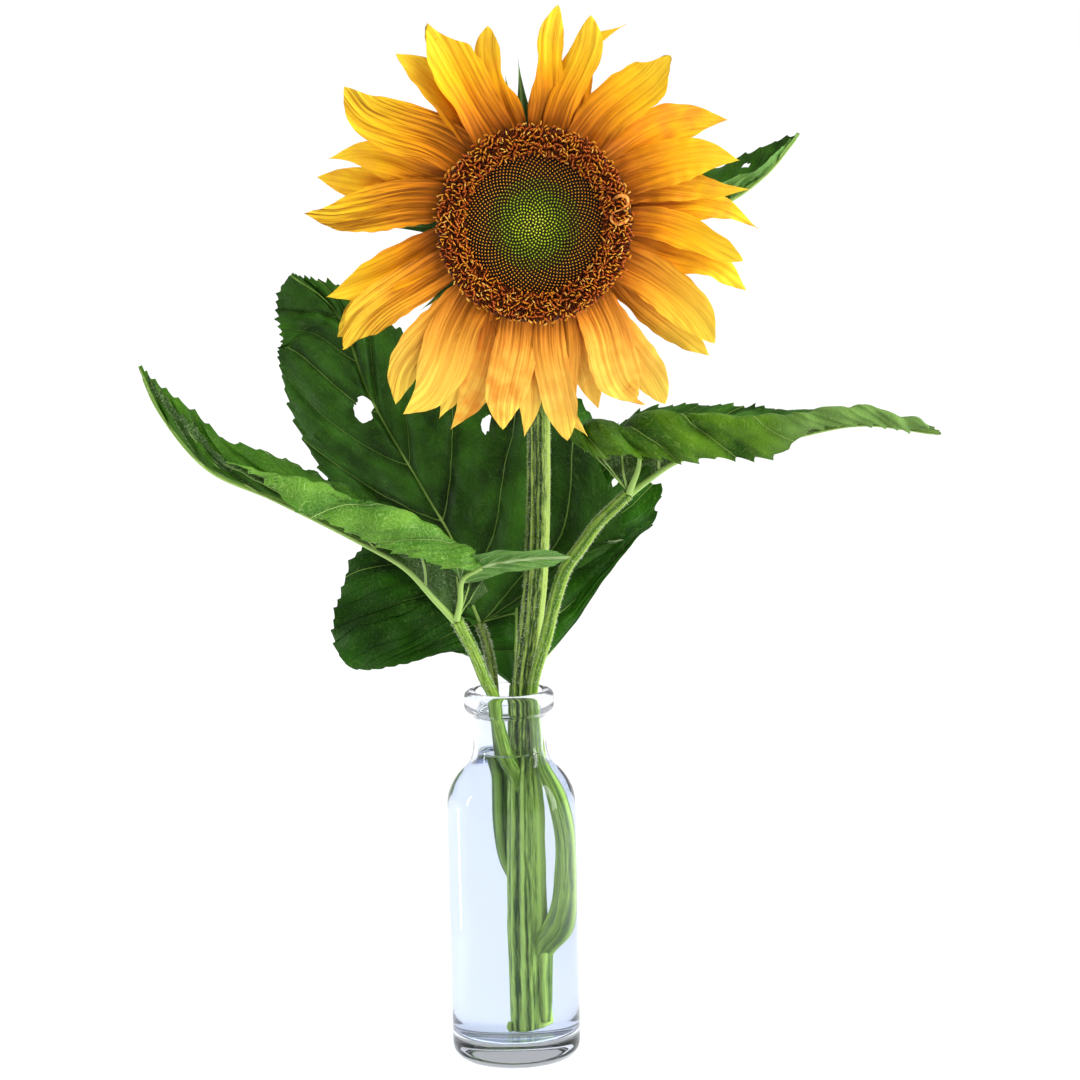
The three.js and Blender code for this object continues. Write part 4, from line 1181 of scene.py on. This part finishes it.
def build_florets(rng):
    radius, angle = spiral(*RIM_FLORETS, FLORET_PITCH)
    count = len(radius)
    lean = smoothstep(radius, 33, 41.5) * 0.75 + rng.normal(0, 0.12, count)
    size = np.stack([np.ones(count)] * 2 + [rng.uniform(0.8, 1.25, count)], -1)
    places = (radius, angle, disc_height(radius) - 0.6, size, lean)
    corolla = lathe([(0.42, 0), (0.45, 1.1), (0.62, 1.7), (0.80, 2.0)], 5)
    add_plain("floret_cups", scattered(corolla, *places, rng), ("cup_orange", "b4560e", 0.6), "disc_rim")
    anther = lathe([(0.34, 1.2), (0.36, 2.6), (0.22, 3.2), (0.05, 3.3)], 5)
    add_plain("floret_anthers", scattered(anther, *places, rng), ("anther_brown", "3d1806", 0.55), "disc_rim")
    add_plain("curled_ray", curled_ray(), ("curled_ray", "f0a24a", 0.5), "disc_rim")
    arms = style_arms()
    pick = rng.uniform(0, 1, count)
    for name, colour, low, high in STYLES:
        some = (pick >= low) & (pick < high)
        styles = scattered(arms, *(values[some] for values in places), rng)
        add_plain("floret_styles_" + name, styles, ("style_" + name, colour, 0.5), "disc_rim")


def curled_ray():
    """The one pale ligule that has curled up in the ring of florets."""
    curl = Curve([(33.6, 9.6, 3.2), (36.2, 11.3, 5.0), (39.2, 10.6, 5.4), (39.6, 7.6, 5.2), (36.6, 5.4, 5.0),
                  (33.4, 4.2, 5.0), (32.6, 1.4, 4.8), (34.8, -0.6, 4.8), (38.2, 0.2, 4.4), (40, 1.6, 3.2)])
    return tube(curl.point(np.linspace(0, curl.length, 50)), 0.55 + 0.25 * np.sin(np.linspace(0, 9, 50)), 8)


def style_arms():
    """Two thin arms that part at the top of a floret and curl back on themselves."""
    points, faces = [], []
    turn = np.linspace(0.2, 3.9, 7)
    for side in (1, -1):
        x = side * (0.45 - 0.45 * np.cos(turn) * (1 - turn / 16))
        z = 3.0 + 0.55 * np.sin(turn) + 0.1
        line = np.vstack([[0, 0, 2.4], np.stack([x, 0.05 * side * turn, z], -1)])
        arm, arm_faces = tube(line, np.linspace(0.3, 0.2, len(line)), 4)
        faces.append(arm_faces + sum(len(p) for p in points))
        points.append(arm)
    return np.vstack(points), np.vstack(faces)


def build_disc():
    bed = disc_bed(np.linspace(0.01, RIM_START, 30), 0.5, 72, outer=[(RIM_START, -2)])
    add_plain("disc_bed", bed, ("bed_brown", "3a2208", 0.8), "disc_centre")
    bed = disc_bed(np.linspace(RIM_START, RIM_END, 16), 0.6, 96, inner=[(RIM_START, -2)], outer=[(40.5, -2)])
    add_plain("rim_bed", bed, ("rim_brown", "43200a", 0.85), "disc_rim")
    rng = np.random.default_rng(5)
    build_buds(rng)
    build_florets(rng)


def build_cup():
    """The green back of the head."""
    profile = rounded([(5.9, -36.5, 0), (7.4, -33, 3), (11, -30.4, 3), (17, -28.6, 4), (27, -24.5, 4),
                       (36, -17.5, 4), (40.2, -12.4, 3), (40.2, -9.3, 1), (36.4, -8.4, 1), (36.4, -2.4, 0)])
    points, faces = lathe(profile, 96)
    turn = np.arctan2(points[:, 1], points[:, 0])
    points[:, :2] *= (1 + 0.012 * np.cos(22 * turn) + 0.006 * np.cos(35 * turn + 1))[:, None]
    flat = np.stack([points[:, 2] * 3, turn * 30, points[:, 0] * 0], -1)
    add_piece("cup_back", [(from_head(points), faces, CUP_GREEN, {"flat": flat})], ["receptacle"])


def bract(angle, start, far, height, rng):
    """The two halves of one pointed bract."""
    stops = []
    for share in (0, 0.3, 0.65, 1):
        radius = lerp(start, far, share)
        drop = height - 0.2 * (radius - start) - 3.0 * share**2 * rng.uniform(0.2, 1.3)
        stops.append((radius * math.cos(angle), radius * math.sin(angle), drop))
    blade = Blade(stops, (0, 0, 1), (0, 0, -1), lambda along, across, half: 0 * along)
    t = np.linspace(0, 1, BRACT_ROWS)[:, None]
    c = np.linspace(0, 1, BRACT_COLUMNS)[None]
    for side in (1, -1):
        half = {"side": side, "width": BRACT_WIDTH, "rise": [14, 12, 8], "bend": [-30, -20, -10]}
        along = blade.length * (1 - t) + 0 * c
        across = BRACT_WIDTH * t**1.7 * (1 - 0.35 * t**4) * c * side
        here, normal = blade.sheet(along, across, half)
        yield skin(from_head(here), normal @ HEAD_TURN.T, BRACT_THICK * (1 - 0.95 * c**6), along, across, side,
                   BRACT_GREEN, veins=(0.5, 60, 0))


def build_bracts():
    rng = np.random.default_rng(9)
    parts = []
    for ring, (count, reach, start, height) in enumerate(BRACT_RINGS):
        for k in range(count):
            angle = math.radians(11.6 + 360 * (k + 0.5 * ring) / count) + rng.normal(0, 0.03)
            parts += bract(angle, start, reach * rng.uniform(0.93, 1.02), height, rng)
    add_piece("bract_ring", parts, ["bracts"])


def build_head():
    rng = np.random.default_rng(4)
    for name in sorted(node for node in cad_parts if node.startswith("petal_")):
        build_petal(name, rng)
    build_disc()
    build_cup()
    build_bracts()


# ---- Stage and lights, in metres ----

FLOOR_HALF = 60.0
SKY_LESS = {"Is Diffuse Ray": 0.68, "Is Glossy Ray": 0.5}  # how much dimmer the white sky is as a light
SUNS = [
    # name, where it stands (right, behind, up), softness in degrees, strength
    ("key", (0.8, -0.75, 1.0), 40, 2.7),
    ("top", (0.1, 0.35, 1.0), 50, 0.9),
]
SOFTBOXES = [
    # name, place, aim, size (across, up), watts
    ("window_left", (-1.1, -0.1, 0.35), (0, 0, 0.1), (0.10, 0.5), 3.0),
    ("window_right", (1.0, -0.12, 0.45), (0.02, 0, 0.25), (0.22, 0.9), 8.0),
    ("streak_left", (-0.22, 0.055, 0.05), (0, 0, 0.05), (0.016, 0.09), 0.09),
]
BOUNCES = {"max_bounces": 20, "glossy_bounces": 12, "transmission_bounces": 16, "transparent_max_bounces": 24}


def add_floor():
    """A pale floor out to the horizon."""
    shader = new_shader("floor_white", Roughness=0.9, Specular_IOR_Level=0.0, Emission_Strength=0.08,
                        Emission_Color=(1, 1, 1, 1))
    shader.to("Base Color", shader.ramp(shader.noise(30, 2), [(0.3, 0.86), (0.7, 0.88)]))
    mesh = bpy.data.meshes.new("floor")
    corners = [(x * FLOOR_HALF, y * FLOOR_HALF, 0) for x, y in ((-1, -1), (1, -1), (1, 1), (-1, 1))]
    mesh.from_pydata(corners, [], [(0, 1, 2, 3)])
    mesh.materials.append(shader.owner)
    floor = add_object("floor", mesh)


def add_sky():
    """A white sky that lights the object more softly than it shows."""
    shader = Shader(bpy.data.worlds.new("studio"), "Background", Color=(1, 1, 1, 1))
    strength = 1.0
    for kind, less in SKY_LESS.items():
        strength = shader.scaled(shader.add("ShaderNodeLightPath", output=kind), -less, strength)
    shader.to("Strength", strength)
    bpy.context.scene.world = shader.owner


def add_lamp(name, kind, place, aim, **settings):
    data = bpy.data.lights.new(name, kind)
    for key, value in settings.items():
        setattr(data, key, value)
    lamp = add_object(name, data)
    lamp.matrix_world = facing(place, aim)
    lamp.visible_transmission = False
    return lamp


def add_lights():
    for name, place, softness, strength in SUNS:
        sun = add_lamp(name, "SUN", place, (0, 0, 0), angle=math.radians(softness), energy=strength)
        sun.visible_glossy = False
    for name, place, aim, (wide, high), watts in SOFTBOXES:
        box = add_lamp(name, "AREA", place, aim, shape="RECTANGLE", size=wide, size_y=high, energy=watts)
        box.visible_camera = False


add_camera()
build_bottle()
build_water()
build_limbs()
for leaf_name, leaf_shape in LEAVES.items():
    build_leaf(leaf_name, leaf_shape)
build_head()
add_floor()
add_sky()
add_lights()
bpy.context.scene.view_settings.view_transform = "Standard"
for setting, bounces in BOUNCES.items():
    setattr(bpy.context.scene.cycles, setting, bounces)
